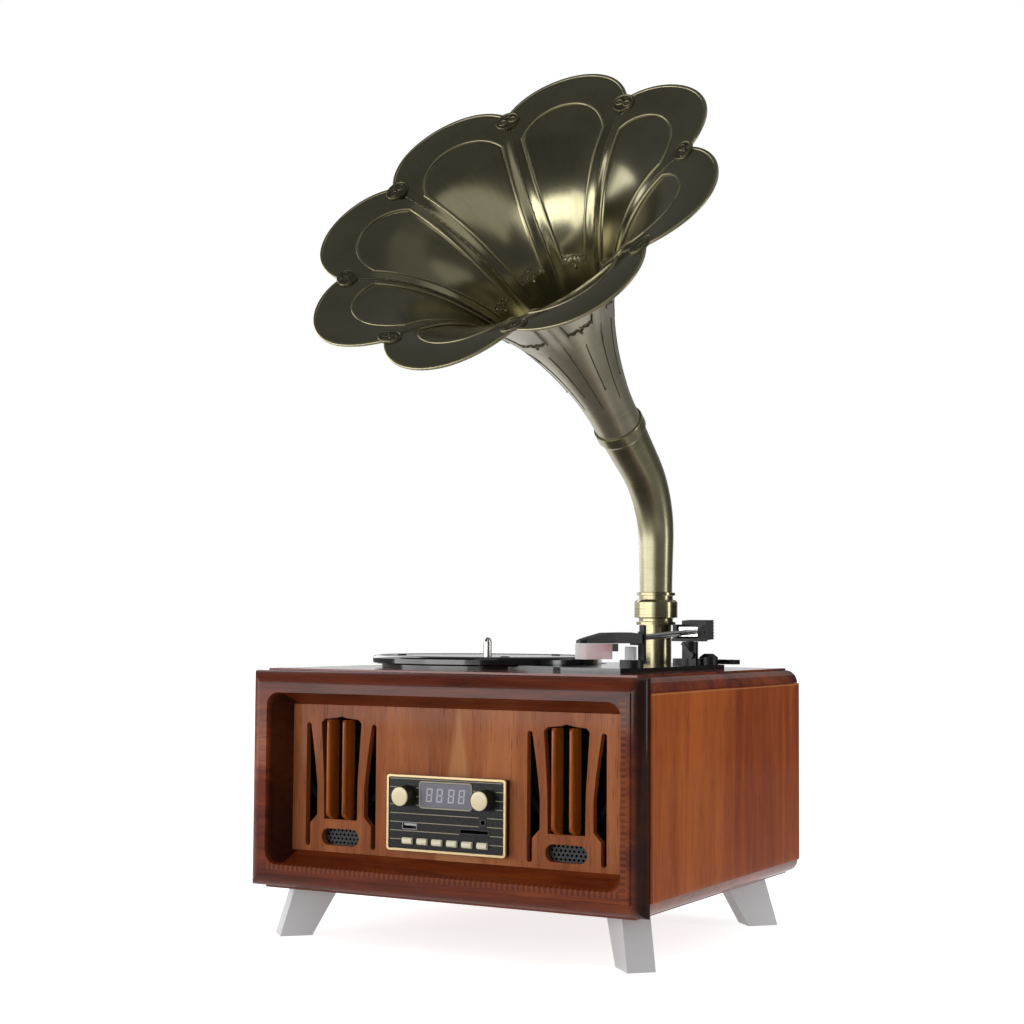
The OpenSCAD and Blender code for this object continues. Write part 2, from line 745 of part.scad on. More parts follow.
// Push button with a rounded front.
module button(i) {
  x = (i - (buttons + 1) / 2) * button_pitch;
  y0 = face_y - button_out;
  nose = 1.2;
  color("ivory") translate([x, 0, button_z]) {
    along_x(-button_w / 2, button_w)
      polygon([[y0 + nose, -button_h / 2], [y0 + button_len, -button_h / 2],
        [y0 + button_len, button_h / 2], [y0 + nose, button_h / 2],
        [y0 + 0.3 * nose, button_h / 2 - 0.8], [y0, button_h / 2 - 1.8],
        [y0, -button_h / 2 + 1.8], [y0 + 0.3 * nose, -button_h / 2 + 0.8]]);
    translate([-button_w / 2, fascia_y, -button_h / 2 - button_lip])
      cube([button_w, y0 + button_len - fascia_y, button_h + 2 * button_lip]);
  }
}

module button_1() { button(1); }
module button_2() { button(2); }
module button_3() { button(3); }
module button_4() { button(4); }
module button_5() { button(5); }
module button_6() { button(6); }

// Outline of the turntable plate.
module plate_outline() {
  polygon([[plate_x1 - plate_nose, plate_front], [plate_x1 - plate_cut, plate_front],
    [plate_x1, plate_front + plate_cut], [plate_x1, plate_y1 - plate_cut_y],
    [plate_x1 - plate_cut_x, plate_y1], [plate_x0 + plate_corner_x, plate_y1],
    [plate_x0, plate_y1 - plate_corner_y], [plate_x0, plate_front + plate_wing],
    [plate_x1 - plate_waist_x, plate_front + plate_waist_y]]);
}

module base_plate() {
  color("black") difference() {
    union() {
      translate([0, 0, plate_z0]) linear_extrude(plate_t) difference() {
        plate_outline();
        translate([platter_x, platter_y]) circle(platter_r + 4, $fn = 96);
      }
      translate([0, 0, plate_z0]) linear_extrude(plate_low) {
        intersection() {
          plate_outline();
          translate([platter_x, platter_y]) circle(platter_r + 8, $fn = 96);
        }
        translate([platter_x, platter_y]) circle(platter_r - 8, $fn = 96);
      }
      translate([platter_x, platter_y, bush_z]) cylinder(r = bush_r, h = plate_z0 - bush_z + plate_low / 2);
    }
    translate([platter_x, platter_y, bush_z - 1]) cylinder(r = shaft_r + run_gap, h = plate_z - bush_z + 2);
    translate([motor_x, motor_y, plate_z0 - 1]) cylinder(r = pulley_r + 1, h = 10);
    translate([horn_x, horn_y, plate_z0 - 1]) cylinder(r = tube_r + fit_gap, h = 10);
    translate([lever_x, lever_y, plate_z0 - 1]) cylinder(r = lever_pin + run_gap, h = 10);
  }
}

// Pressed platter: web, rolled rim, hub and the ring that the belt drives.
module platter() {
  r = platter_r;
  hub_z = flange_z0 + flange_t + fit_gap;
  color("black") translate([platter_x, platter_y, 0]) rotate_extrude($fn = 120)
    polygon([[shaft_r + fit_gap, hub_z], [hub_r, hub_z],
      [hub_r, web_z], [ring_r - 2, web_z], [ring_r - 2, belt_z0 - 0.3], [ring_r, belt_z0 - 0.3],
      [ring_r, web_z], [r - rim_t, web_z], [r - rim_t + 2, plat_z0], [r - 1, plat_z0],
      [r, plat_z0 + 1], [r, plat_z1 - 2], [r - 0.6, plat_z1 - 0.6], [r - 2, plat_z1],
      [r - 5, plat_z1 + 0.5], [r - 8, plat_z1], [shaft_r + fit_gap, plat_z1]]);
}

// Rubber pads that carry the record.
module platter_pads() {
  color("dimgray") for (a = [70, 190, 310])
    translate([platter_x + pad_pos * cos(a), platter_y + pad_pos * sin(a), plat_z1])
      rotate_extrude() polygon([[0, 0], [pad_r, 0], [pad_r, pad_h / 2], [pad_r - 0.5, pad_h], [0, pad_h]]);
}

// Spindle: a shaft in the bush with the flange that carries the platter, and a slimmer pin above.
module spindle() {
  r = spindle_r;
  top = plat_z1 + spindle_h;
  step_z = plat_z1 + fit_gap;
  color("silver") translate([platter_x, platter_y, 0]) rotate_extrude()
    polygon([[0, bush_z + 2], [shaft_r, bush_z + 2], [shaft_r, flange_z0], [flange_r, flange_z0],
      [flange_r, flange_z0 + flange_t], [shaft_r, flange_z0 + flange_t], [shaft_r, step_z],
      [r, step_z], [r, top - 4], [r * 0.86, top - 1.8], [r * 0.5, top - 0.4], [0, top]]);
}

// Motor can hung under the top panel, bored for its shaft.
module motor() {
  color("silver") translate([motor_x, motor_y, motor_z1 - motor_h]) difference() {
    union() {
      cylinder(r = motor_r, h = motor_h - 2);
      translate([0, 0, motor_h - 2]) cylinder(r = motor_r + 4, h = 2);
      cylinder(r = 4, h = motor_h);
    }
    translate([0, 0, 8]) cylinder(r = 1 + run_gap, h = motor_h);
  }
}

module motor_pulley() {
  color("goldenrod") translate([motor_x, motor_y, 0]) rotate_extrude()
    polygon([[0, motor_z1 - motor_h + 10], [1, motor_z1 - motor_h + 10], [1, plate_z0 + 1],
      [pulley_r + 0.6, plate_z0 + 1], [pulley_r + 0.6, belt_z0 - 0.6], [pulley_r, belt_z0 - 0.3],
      [pulley_r, web_z - 1.2], [pulley_r + 0.2, web_z - 0.5], [0, web_z - 0.5]]);
}

// Flat belt round the drive ring and the pulley.
module belt_loop(extra) {
  hull() {
    circle(ring_r + extra, $fn = 72);
    translate([motor_dist * cos(motor_ang), motor_dist * sin(motor_ang)])
      circle(pulley_r + extra, $fn = 24);
  }
}

module drive_belt() {
  color("dimgray") translate([platter_x, platter_y, belt_z0]) linear_extrude(belt_h) difference() {
    belt_loop(fit_gap + belt_t);
    belt_loop(fit_gap);
  }
}

lever_x = pivot_x + 7;
lever_y = pivot_y + 22;
lever_len = 31;
lever_pin = 2;

// Speed selector: a flat lever on a short pin in the plate.
module speed_lever() {
  color("black") translate([lever_x, lever_y, plate_z + fit_gap]) {
    cylinder(r = 6, h = 4);
    translate([0, 0, -plate_t]) cylinder(r = lever_pin, h = plate_t + 1);
    rotate([0, 0, -12]) translate([0, -4.5, 0]) cube([lever_len, 9, 4]);
  }
}

cue_x = pivot_x + 7.4;
cue_y = pivot_y - 16;
cue_axle_z = plate_z + 8.2;
cue_lean = 35;
cue_len = 13;

// Arm base: a disc with a pillar for the swinging yoke, a boss for the lift lever and a dome.
module arm_base() {
  color("black") difference() {
    union() {
      translate([pivot_x, pivot_y, plate_z]) cylinder(r = 15, h = 5);
      translate([pivot_x, pivot_y, plate_z]) cylinder(r = 7, h = base_z1 - plate_z);
      translate([pivot_x + 17, pivot_y + 1, plate_z]) cylinder(r = 8, h = 6.5);
      translate([pivot_x + 17, pivot_y + 1, plate_z + 6.5]) cylinder(r1 = 8, r2 = 4, h = 3);
      translate([cue_x - 4, cue_y + 1.8, plate_z]) cube([8, 4, cue_axle_z - plate_z + 3.5]);
    }
    translate([pivot_x, pivot_y, plate_z + 1]) cylinder(r = 3 + run_gap, h = 40);
    translate([cue_x, cue_y + 10, cue_axle_z]) rotate([90, 0, 0]) cylinder(r = 1.2 + run_gap, h = 20);
  }
}

// Lift lever with its pin, in front of the arm base.
module cue_lever() {
  color("black") translate([cue_x, cue_y, cue_axle_z]) rotate([0, -cue_lean, 0]) {
    rotate([-90, 0, 0]) translate([0, 0, -1.5]) cylinder(r = 3, h = 3);
    rotate([-90, 0, 0]) cylinder(r = 1.2, h = 5.5);
    translate([-1.5, -1.2, 0]) cube([3, 2.4, cue_len]);
  }
}

// Puts children in the arm's axes: the tube runs along -Y from the axle.
module on_pivot() {
  translate([pivot_x, pivot_y, axle_z]) rotate([0, 0, arm_out]) children();
}

module on_arm() {
  on_pivot() rotate([arm_slope, 0, 0]) children();
}

// Swinging yoke with two cheeks and its upright shaft.
module arm_yoke() {
  w = yoke_w;
  z0 = yoke_z0 - axle_z;
  color("black") on_pivot() difference() {
    union() {
      translate([-w / 2, -12, z0]) cube([w, 21, 2.6]);
      for (s = [-1, 1]) translate([s * (w / 2 - 1.75) - 1.75, -9, z0]) cube([3.5, 16, 6.5 - z0]);
      translate([0, 0, z0 - (base_z1 - plate_z) + 3]) cylinder(r = 3, h = base_z1 - plate_z - 1);
    }
    translate([-w, 0, 0]) rotate([0, 90, 0]) cylinder(r = axle_r + run_gap, h = 2 * w);
  }
}

// Arm tube with its hub block, axle and the stub for the weight.
module arm_tube() {
  hub = yoke_w - 7 - 2 * fit_gap;
  color("silver") on_arm() {
    rotate([90, 0, 0]) translate([0, 0, 2]) cylinder(r = arm_r, h = arm_len - 2);
    translate([-hub / 2, -5, -3.5]) cube([hub, 10, 8]);
    translate([-yoke_w / 2 + 0.4, 0, 0]) rotate([0, 90, 0]) cylinder(r = axle_r, h = yoke_w - 0.8);
    rotate([-90, 0, 0]) cylinder(r = 3, h = 16);
  }
}

// Ribbed block weight on the arm's tail.
module arm_weight() {
  ribs = 6;
  pitch = weight_h / ribs;
  color("black") on_arm() translate([0, 11.5, -7.5]) difference() {
    translate([-weight_w / 2, 0, 0]) cube([weight_w, weight_l, weight_h]);
    for (i = [0:ribs - 1], s = [-1, 1])
      translate([s * weight_w / 2 - 0.5, 6, (i + 0.5) * pitch - pitch / 4])
        cube([1, weight_l, pitch / 2]);
    translate([0, -1, 7.5]) rotate([-90, 0, 0]) cylinder(r = 3 + fit_gap, h = 8);
  }
}

// Puts children at the front end of the arm, in the head's axes.
module on_head() {
  translate([jx, jy, jz]) rotate([0, 0, -head_in]) children();
}

// Head: a wedge that narrows and thins to a finger lift, with a collar for the tube.
module headshell() {
  w = head_w;
  n = head_w * 0.62;
  l = head_len;
  color("black") difference() {
    on_head() {
      intersection() {
        translate([0, 0, -10]) linear_extrude(30)
          polygon([[-w / 2, 6], [-w / 2, -22], [-n / 2, -l + 5], [-n / 2 + 2, -l], [n / 2 - 2, -l],
            [n / 2, -l + 5], [w / 2, -22], [w / 2, 6]]);
        along_x(-w, 2 * w)
          polygon([[6, -3.4], [6, 4.2], [-6, 5.2], [-26, 4.8], [-l + 12, 1.6], [-l - 1, -1.4],
            [-l - 1, -3.4], [-l + 10, -3.4]]);
      }
    }
    on_arm() rotate([90, 0, 0]) translate([0, 0, arm_len - 12])
      cylinder(r = arm_r + fit_gap, h = 12 + fit_gap);
  }
}

// Cartridge under the head, with the stylus holder and needle.
module cartridge() {
  top = -3.4 - fit_gap;
  color("black") on_head() {
    translate([-5, -27, top - 6]) cube([10, 10, 6]);
    translate([-2.5, -33, top - 6]) cube([5, 6.01, 3.2]);
    translate([0, -31, top - 8]) cylinder(r1 = 0.3, r2 = 1, h = 2.5);
  }
}

// Clear guard round the stylus: floor, two cheeks and a nose.
module stylus_guard() {
  w = 13;
  t = 1.2;
  l = 27;
  top = -3.4 - fit_gap;
  h = 12;
  color("mistyrose", 0.7) on_head() translate([0, -head_len + 2.5, top - h]) difference() {
    translate([-w / 2, 0, 0]) cube([w, l, h]);
    translate([-w / 2 + t, t, t]) cube([w - 2 * t, l, h]);
  }
}

// Arm rest: base ring, spine, saddle below the tube and the prong beside it.
module arm_rest() {
  color("black") translate([rest_x, rest_y, 0]) {
    translate([-2, 0, plate_z]) difference() {
      cylinder(r = rest_r, h = 6);
      translate([-4.4, -4.4, 4]) cube([8.8, 8.8, 3]);
    }
    translate([3, 1, plate_z + 3]) cube([5.4, 4, rest_z - plate_z - 3 + 8]);
    translate([-4, 1, rest_z - fit_gap - 2.6]) cube([8, 4, 2.6]);
    translate([4.2, 1, rest_z]) cube([4.2, 4, 13]);
  }
}

// Pale column in front of the arm rest.
module rest_column() {
  z0 = plate_z + 4 + fit_gap;
  color("white", 0.8) translate([rest_x - 2, rest_y, z0])
    translate([-4.1, -4.1, 0]) cube([8.2, 4.6, rest_z - z0 - 4]);
}

// Socket of the horn: base tube through plate and panel, flange, neck and wide band.
module horn_socket() {
  r = tube_r;
  z0 = cab_top - panel_t - 6;
  h = elbow_z;
  color("darkkhaki") translate([horn_x, horn_y, 0]) difference() {
    rotate_extrude() polygon([[0, z0], [r, z0], [r, h - 26], [r + 3.7, h - 26], [r + 3.7, h - 23.5],
      [r + 1.4, h - 23], [r + 1.4, h - 20.5], [band_r, h - 19.5], [band_r, h - 6], [band_r - 2, h - 4],
      [r + 1.4, h - 3.5], [r + 1.4, h - 0.3], [0, h - 0.3]]);
    translate([0, 0, z0 - 1]) cylinder(r = tube_in, h = h);
  }
}

// Swivel ferrule: a spigot in the socket and the small flange that the elbow stands on.
module horn_ferrule() {
  r = tube_r;
  color("darkkhaki") translate([horn_x, horn_y, 0]) difference() {
    rotate_extrude() polygon([[0, elbow_z - spigot_len], [spigot_r, elbow_z - spigot_len],
      [spigot_r, elbow_z], [r + 3.4, elbow_z], [r + 3.4, elbow_z + 2.4], [r + 2.6, bend_z0 - fit_gap],
      [0, bend_z0 - fit_gap]]);
    translate([0, 0, elbow_z - spigot_len - 1]) cylinder(r = spigot_r - 1.6, h = spigot_len + 10);
  }
}

elbow_sides = 36;
lip_len = 12;

// Outer radius of the elbow at a length along its path: a slow taper, then the wide lip.
function elbow_r(u) = u < path_len - lip_len
  ? elbow_r0 + (elbow_r1 - elbow_r0) * pow(u / (path_len - lip_len), 1.3)
  : socket_r + sheet_t;
function elbow_in(u) = u < path_len - lip_len ? elbow_r(u) - sheet_t : socket_r;
// Tilt of the elbow's path at a length along it: upright, then the bend, then straight again.
function elbow_tilt(u) = min(max(u - bend_rise, 0), arc_len) / bend_r * 180 / PI;
// Point of the elbow's skin at a length along its path, an angle round it and a radius.
function elbow_pt(u, a, r) =
  let (b = elbow_tilt(u), low = min(u, bend_rise), high = max(u - bend_rise - arc_len, 0))
  [r * cos(a), -bend_r * (1 - cos(b)) - high * sin(b) + r * sin(a) * cos(b),
   bend_z0 + low + bend_r * sin(b) + high * cos(b) + r * sin(a) * sin(b)];

module horn_elbow() {
  n = elbow_sides;
  // lengths along the path, doubled where the lip steps out
  us = concat([for (k = [0:2]) bend_rise * k / 3], [for (k = [0:10]) bend_rise + arc_len * k / 10],
    [for (k = [1:2]) bend_rise + arc_len + (bend_run - lip_len - 0.1) * k / 2],
    [path_len - lip_len + 0.9, path_len - 5, path_len]);
  m = len(us);
  outer = [for (u = us) for (j = [0:n - 1]) elbow_pt(u, j * 360 / n, elbow_r(u))];
  inner = [for (u = us) for (j = [0:n - 1]) elbow_pt(u, j * 360 / n, elbow_in(u))];
  o = m * n;
  faces = concat(
    [for (i = [0:m - 2], j = [0:n - 1]) let (k = (j + 1) % n)
      each [[i * n + j, (i + 1) * n + k, i * n + k], [i * n + j, (i + 1) * n + j, (i + 1) * n + k]]],
    [for (i = [0:m - 2], j = [0:n - 1]) let (k = (j + 1) % n)
      each [[o + i * n + j, o + i * n + k, o + (i + 1) * n + k],
        [o + i * n + j, o + (i + 1) * n + k, o + (i + 1) * n + j]]],
    [for (j = [0:n - 1]) let (k = (j + 1) % n)
      each [[j, k, o + k], [j, o + k, o + j],
        [(m - 1) * n + j, o + (m - 1) * n + k, (m - 1) * n + k],
        [(m - 1) * n + j, o + (m - 1) * n + j, o + (m - 1) * n + k]]]);
  color("darkkhaki") translate([horn_x, horn_y, 0]) rotate([0, 0, -horn_turn])
    polyhedron(concat(outer, inner), faces, convexity = 6);
}

// Puts children in the horn's own axes: Z runs out of the bell from the elbow's end.
module on_horn() {
  translate([horn_x, horn_y, 0]) rotate([0, 0, -horn_turn])
    translate([0, -end_h, end_z]) rotate([bend_a, 0, 0]) children();
}

module horn_neck() {
  color("tan") on_horn() rotate_extrude($fn = 72)
    polygon(concat([[throat_r, -neck_in]], sheet(neck_shares, 0, sheet_t),
      [[throat_r + sheet_t, -neck_in]]));
}

// One petal: a slice of the flared sheet, cut to a round end.
module petal() {
  half = seam_a - asin(seam_gap / 40);
  intersection() {
    rotate([0, 0, -half]) rotate_extrude(angle = 2 * half, $fn = 72)
      polygon(sheet(petal_shares, 0, sheet_t));
    translate([0, 0, -10]) linear_extrude(bell_len + 40) {
      translate([petal_c, 0]) circle(petal_r, $fn = 72);
      translate([1, -petal_r + 1]) square([petal_c - 1, 2 * petal_r - 2]);
    }
  }
}

module horn_petals() {
  color("olive") on_horn() for (i = [0:petals - 1]) rotate([0, 0, i * 360 / petals]) petal();
}

// Round ornaments over the seams at the rim, tilted to lie on the flare.
module horn_medallions() {
  s = flare_s(seam_r - 2);
  n = flare_n(s);
  p = flare(s) - (fit_gap + 0.2) * n;
  r = medal_r;
  color("olive") on_horn() for (i = [0:petals - 1]) rotate([0, 0, (i + 0.5) * 360 / petals])
    translate([p[0], 0, p[1]]) rotate([0, -atan2(n[0], -n[1]), 0])
      rotate_extrude($fn = 36) polygon([[0, 0], [r, 0], [r, 1], [r - 0.6, 1.8], [r - 1.6, 1.8],
        [r - 2.2, 1.1], [r * 0.45, 1.1], [r * 0.36, 1.9], [0, 2.2]]);
}

// Two-pin mains inlet in the rear panel.
module power_inlet() {
  y1 = rear_y + rear_t;
  color("black") difference() {
    union() {
      translate([inlet_x - inlet_w / 2 + fit_gap, rear_y - 12, inlet_z - inlet_h / 2 + fit_gap])
        cube([inlet_w - 2 * fit_gap, 12 + rear_t + 0.5, inlet_h - 2 * fit_gap]);
      translate([inlet_x - inlet_w / 2 - 3, y1 + fit_gap, inlet_z - inlet_h / 2 - 2])
        cube([inlet_w + 6, 1.6, inlet_h + 4]);
    }
    along_y(rear_y - 8, 30) translate([inlet_x, inlet_z]) {
      circle(3.6);
      for (s = [-1, 1]) translate([s * 3.6, 0]) circle(3.6);
      square([7.2, 7.1], center = true);
    }
  }
}

// Moves the part so that the middle of its floor print is the origin.
module place() {
  translate([-mid_x, -mid_y, 0]) children();
}

place() top_panel();
place() bottom_panel();
place() side_panel_left();
place() side_panel_right();
place() rear_panel();
place() front_frame();
place() fascia();
place() leg_front_left();
place() leg_front_right();
place() leg_rear_left();
place() leg_rear_right();
place() grille_fins_left();
place() grille_fins_right();
place() grille_mesh_left();
place() grille_mesh_right();
place() speaker_left();
place() speaker_right();
place() radio_case();
place() radio_bezel();
place() radio_face();
place() display_window();
place() usb_socket();
place() card_slot();
place() aux_jack();
place() knob_volume();
place() knob_tuning();
place() knob_cap_volume();
place() knob_cap_tuning();
place() button_1();
place() button_2();
place() button_3();
place() button_4();
place() button_5();
place() button_6();
place() base_plate();
place() platter();
place() platter_pads();
place() spindle();
place() motor();
place() motor_pulley();
place() drive_belt();
place() speed_lever();
place() arm_base();
place() arm_yoke();
place() arm_tube();
place() arm_weight();
place() headshell();
place() cartridge();
place() stylus_guard();
place() cue_lever();
place() arm_rest();
place() rest_column();
place() horn_socket();
place() horn_ferrule();
place() horn_elbow();
place() horn_neck();
place() horn_petals();
place() horn_medallions();
place() power_inlet();
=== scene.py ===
# %% [markdown]
# # A wooden gramophone with a petalled brass horn
#
# This notebook dresses a finished construction model in its real looks: lacquered
# veneer, antique brass, black plastic and nickel. Every cell makes one thing and
# prints what it made. Lengths in the helpers are in millimetres, measured in the
# box's own axes, and one function turns them into the model's metres.

import bpy
import math
import numpy as np
from mathutils import Matrix, Vector


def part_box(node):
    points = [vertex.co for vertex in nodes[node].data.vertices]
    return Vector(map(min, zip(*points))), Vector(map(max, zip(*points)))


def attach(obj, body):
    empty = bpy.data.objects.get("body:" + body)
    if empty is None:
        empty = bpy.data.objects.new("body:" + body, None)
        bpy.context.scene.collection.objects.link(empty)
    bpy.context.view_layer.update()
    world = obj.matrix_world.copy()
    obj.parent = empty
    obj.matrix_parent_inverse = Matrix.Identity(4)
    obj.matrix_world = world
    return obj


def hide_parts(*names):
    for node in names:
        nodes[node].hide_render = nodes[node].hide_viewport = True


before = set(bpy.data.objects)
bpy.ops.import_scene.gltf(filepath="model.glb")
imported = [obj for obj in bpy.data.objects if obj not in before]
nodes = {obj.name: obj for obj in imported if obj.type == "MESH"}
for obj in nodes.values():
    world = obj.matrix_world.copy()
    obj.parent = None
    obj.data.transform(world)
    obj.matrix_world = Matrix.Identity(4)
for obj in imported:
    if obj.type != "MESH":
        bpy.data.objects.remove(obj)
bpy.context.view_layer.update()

# %% [markdown]
# ## Axes
# The box's own axes are handy: X is 0 in the middle of the box, Y is 0 at the front
# face, Z is 0 on the floor. The model's origin is the middle of its floor print, so
# the two differ by a shift, read here from the left side panel.

# %% Shift between the box's axes and the model's
HALF_WIDTH = 180.0
DEPTH = 322.0
SIDE_LOW, SIDE_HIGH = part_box("side_panel_left")
SHIFT = np.array([-HALF_WIDTH - 1000 * SIDE_LOW.x, DEPTH - 1000 * SIDE_HIGH.y, 0.0])


def to_row(points):
    """Box-axes millimetres to model metres: subtract the shift, divide by a thousand."""
    return (np.asarray(points, float) - SHIFT) / 1000.0


print("shift in mm", SHIFT.round(3))

# %% [markdown]
# ## The camera
# A 65 mm lens about 1.4 m from the box, a little above table height and pitched
# slightly up, sees the front and the right side as in the photograph.

# %% Camera
LENS_MM = 65.03
EYE = (748.98, -1232.94, 256.82)
YAW = 0.504763
PITCH = 0.060510
ROLL = 0.0070077


def camera_matrix():
    """Columns are the camera's right, up and back directions and its place."""
    ahead = np.array([-math.sin(YAW) * math.cos(PITCH), math.cos(YAW) * math.cos(PITCH), math.sin(PITCH)])
    right = np.array([math.cos(YAW), math.sin(YAW), 0.0])
    up = np.cross(right, ahead)
    turned_right = math.cos(ROLL) * right + math.sin(ROLL) * up
    turned_up = -math.sin(ROLL) * right + math.cos(ROLL) * up
    rows = np.eye(4)
    rows[:3] = np.stack([turned_right, turned_up, -ahead, to_row(EYE)], 1)
    return rows.tolist()


def add_object(name, data):
    """A new object in the scene, at the origin, that shows the data."""
    made = bpy.data.objects.new(name, data)
    bpy.context.scene.collection.objects.link(made)
    return made


def make_camera():
    """The camera of the photograph, with everything in focus."""
    data = bpy.data.cameras.new("photo_camera")
    data.lens = LENS_MM
    data.sensor_width = 36.0
    data.clip_start = 0.01
    data.clip_end = 50.0
    camera = add_object("photo_camera", data)
    camera.matrix_world = Matrix(camera_matrix())
    bpy.context.scene.camera = camera
    return camera


camera = make_camera()
bpy.context.scene.view_settings.view_transform = "Standard"
print("camera at", [round(x, 3) for x in camera.location])

# %% [markdown]
# ## Colours and shader nodes
# Colours are written as screen hex values and turned to linear light by one
# function. Each of the small helpers adds one kind of shader node and joins its
# inputs, so that the finishes below read as short recipes.

# %% Helpers for finishes
def linear(code):
    """A screen colour such as '8a5a2b' as linear red, green, blue and one."""
    out = []
    for k in (0, 2, 4):
        v = int(code[k:k + 2], 16) / 255.0
        out.append(v / 12.92 if v <= 0.04045 else ((v + 0.055) / 1.055) ** 2.4)
    return (*out, 1.0)


def put(node, values):
    """Sets a node's inputs, given by name."""
    for name, value in values.items():
        node.inputs[name].default_value = value


def new_material(name, base, rough, metal=0.0, coat=0.0, coat_rough=0.05):
    """A principled material with plain values; recipes below feed its sockets."""
    mat = bpy.data.materials.new(name)
    mat.use_nodes = True
    tree = mat.node_tree
    shader = tree.nodes["Principled BSDF"]
    put(shader, {"Base Color": linear(base), "Roughness": rough, "Metallic": metal,
                 "Coat Weight": coat, "Coat Roughness": coat_rough})
    return mat, tree, shader


def ramp(tree, source, stops):
    """A colour ramp over a value: stops are (place, hex colour)."""
    made = tree.nodes.new("ShaderNodeValToRGB")
    elements = made.color_ramp.elements
    while len(elements) > 1:
        elements.remove(elements[-1])
    elements[0].position = stops[0][0]
    elements[0].color = linear(stops[0][1])
    for place, code in stops[1:]:
        element = elements.new(place)
        element.color = linear(code)
    tree.links.new(source, made.inputs[0])
    return made.outputs[0]


def object_coords(tree, scale=(1, 1, 1)):
    """The piece's own coordinates in metres, scaled so that one unit is a real length."""
    coords = tree.nodes.new("ShaderNodeTexCoord")
    mapping = tree.nodes.new("ShaderNodeMapping")
    mapping.inputs["Scale"].default_value = scale
    tree.links.new(coords.outputs["Object"], mapping.inputs["Vector"])
    return mapping.outputs[0]


def noise(tree, vector, scale, detail=4.0, rough=0.5, distortion=0.0):
    """Fractal noise; its value output."""
    made = tree.nodes.new("ShaderNodeTexNoise")
    put(made, {"Scale": scale, "Detail": detail, "Roughness": rough, "Distortion": distortion})
    tree.links.new(vector, made.inputs["Vector"])
    return made.outputs[0]


def feed(tree, entry, value):
    """Sets a node's input to a number or a hex colour, or joins a socket to it."""
    if isinstance(value, str):
        entry.default_value = linear(value)
    elif isinstance(value, (int, float)):
        entry.default_value = value
    else:
        tree.links.new(value, entry)


def maths(tree, operation, *values):
    """A scalar operation on sockets or numbers."""
    made = tree.nodes.new("ShaderNodeMath")
    made.operation = operation
    for index, value in enumerate(values):
        feed(tree, made.inputs[index], value)
    return made.outputs[0]


def times(tree, a, b):
    """Product of two sockets or numbers."""
    return maths(tree, "MULTIPLY", a, b)


def spread(tree, value, low, high, to_low, to_high):
    """Maps a value from one range to another, held at the ends."""
    made = tree.nodes.new("ShaderNodeMapRange")
    tree.links.new(value, made.inputs[0])
    for index, number in enumerate((low, high, to_low, to_high), 1):
        made.inputs[index].default_value = number
    return made.outputs[0]


def blend_colours(tree, share, a, b):
    """Mixes two colours, given as sockets or hex codes, by a share."""
    made = tree.nodes.new("ShaderNodeMix")
    made.data_type = "RGBA"
    for index, value in ((0, share), (6, a), (7, b)):
        feed(tree, made.inputs[index], value)
    return made.outputs[2]


finished = set()


def give(material, *names):
    """Gives a material to construction nodes, in place of the plain one they come with."""
    for name in names:
        data = nodes[name].data
        data.materials.clear()
        data.materials.append(material)
        finished.add(name)


print("helpers ready")

# %% [markdown]
# ## Lacquered veneer
# Veneer is sliced wood under stain and gloss lacquer. The figure is stretched noise:
# long along the grain, short across it, bent by slow noise, with fine dark pores as
# short dashes. The lacquer is a clear coat over it.

# %% Veneers
def along_grain(tree, axis, stretch):
    """The piece's own coordinates, pressed together along the grain, so that noise runs long there."""
    scale = [1.0, 1.0, 1.0]
    scale[axis] = stretch
    return object_coords(tree, tuple(scale))


def veneer(name, grain_axis, dark, middle, light, pores="2a0f06", figure=26.0, rough=0.42, coat=0.3):
    """Wood with its grain along one axis (0, 1 or 2) of the piece's own coordinates."""
    mat, tree, shader = new_material(name, middle, rough, 0.0, coat, COAT_ROUGH)
    shader.inputs["Specular IOR Level"].default_value = WOOD_GLOSS
    vector = along_grain(tree, grain_axis, FIGURE_STRETCH)
    slow = noise(tree, vector, figure * 0.5, 2.0, 0.5)
    rings = noise(tree, vector, figure * 3.2, 5.0, 0.62, 0.6)
    both = maths(tree, "ADD", times(tree, slow, 0.55), times(tree, rings, 0.5))
    colour = ramp(tree, both, [(0.36, dark), (0.52, middle), (0.67, light)])
    dashes = noise(tree, along_grain(tree, grain_axis, PORE_STRETCH), PORE_FINENESS, 2.0, 0.6)
    share = spread(tree, dashes, 0.58, 0.7, 0.0, 0.55)
    mixed = blend_colours(tree, share, colour, pores)
    tree.links.new(mixed, shader.inputs["Base Color"])
    return mat, tree, shader, mixed


def place_of(x=0.0, y=0.0):
    """A place across and behind the front of the box, in millimetres, as the model's X and Y in metres."""
    return [float(v) for v in to_row((x, y, 0))[:2]]


def axis_values(tree):
    """The piece's own X, Y and Z in metres as three sockets."""
    split = tree.nodes.new("ShaderNodeSeparateXYZ")
    tree.links.new(object_coords(tree), split.inputs[0])
    return split.outputs


def between(tree, value, low, high):
    """One where a value lies between two bounds, zero outside, with a soft edge."""
    up = spread(tree, value, low - SOFT_EDGE, low + SOFT_EDGE, 0.0, 1.0)
    down = spread(tree, value, high - SOFT_EDGE, high + SOFT_EDGE, 1.0, 0.0)
    return times(tree, up, down)


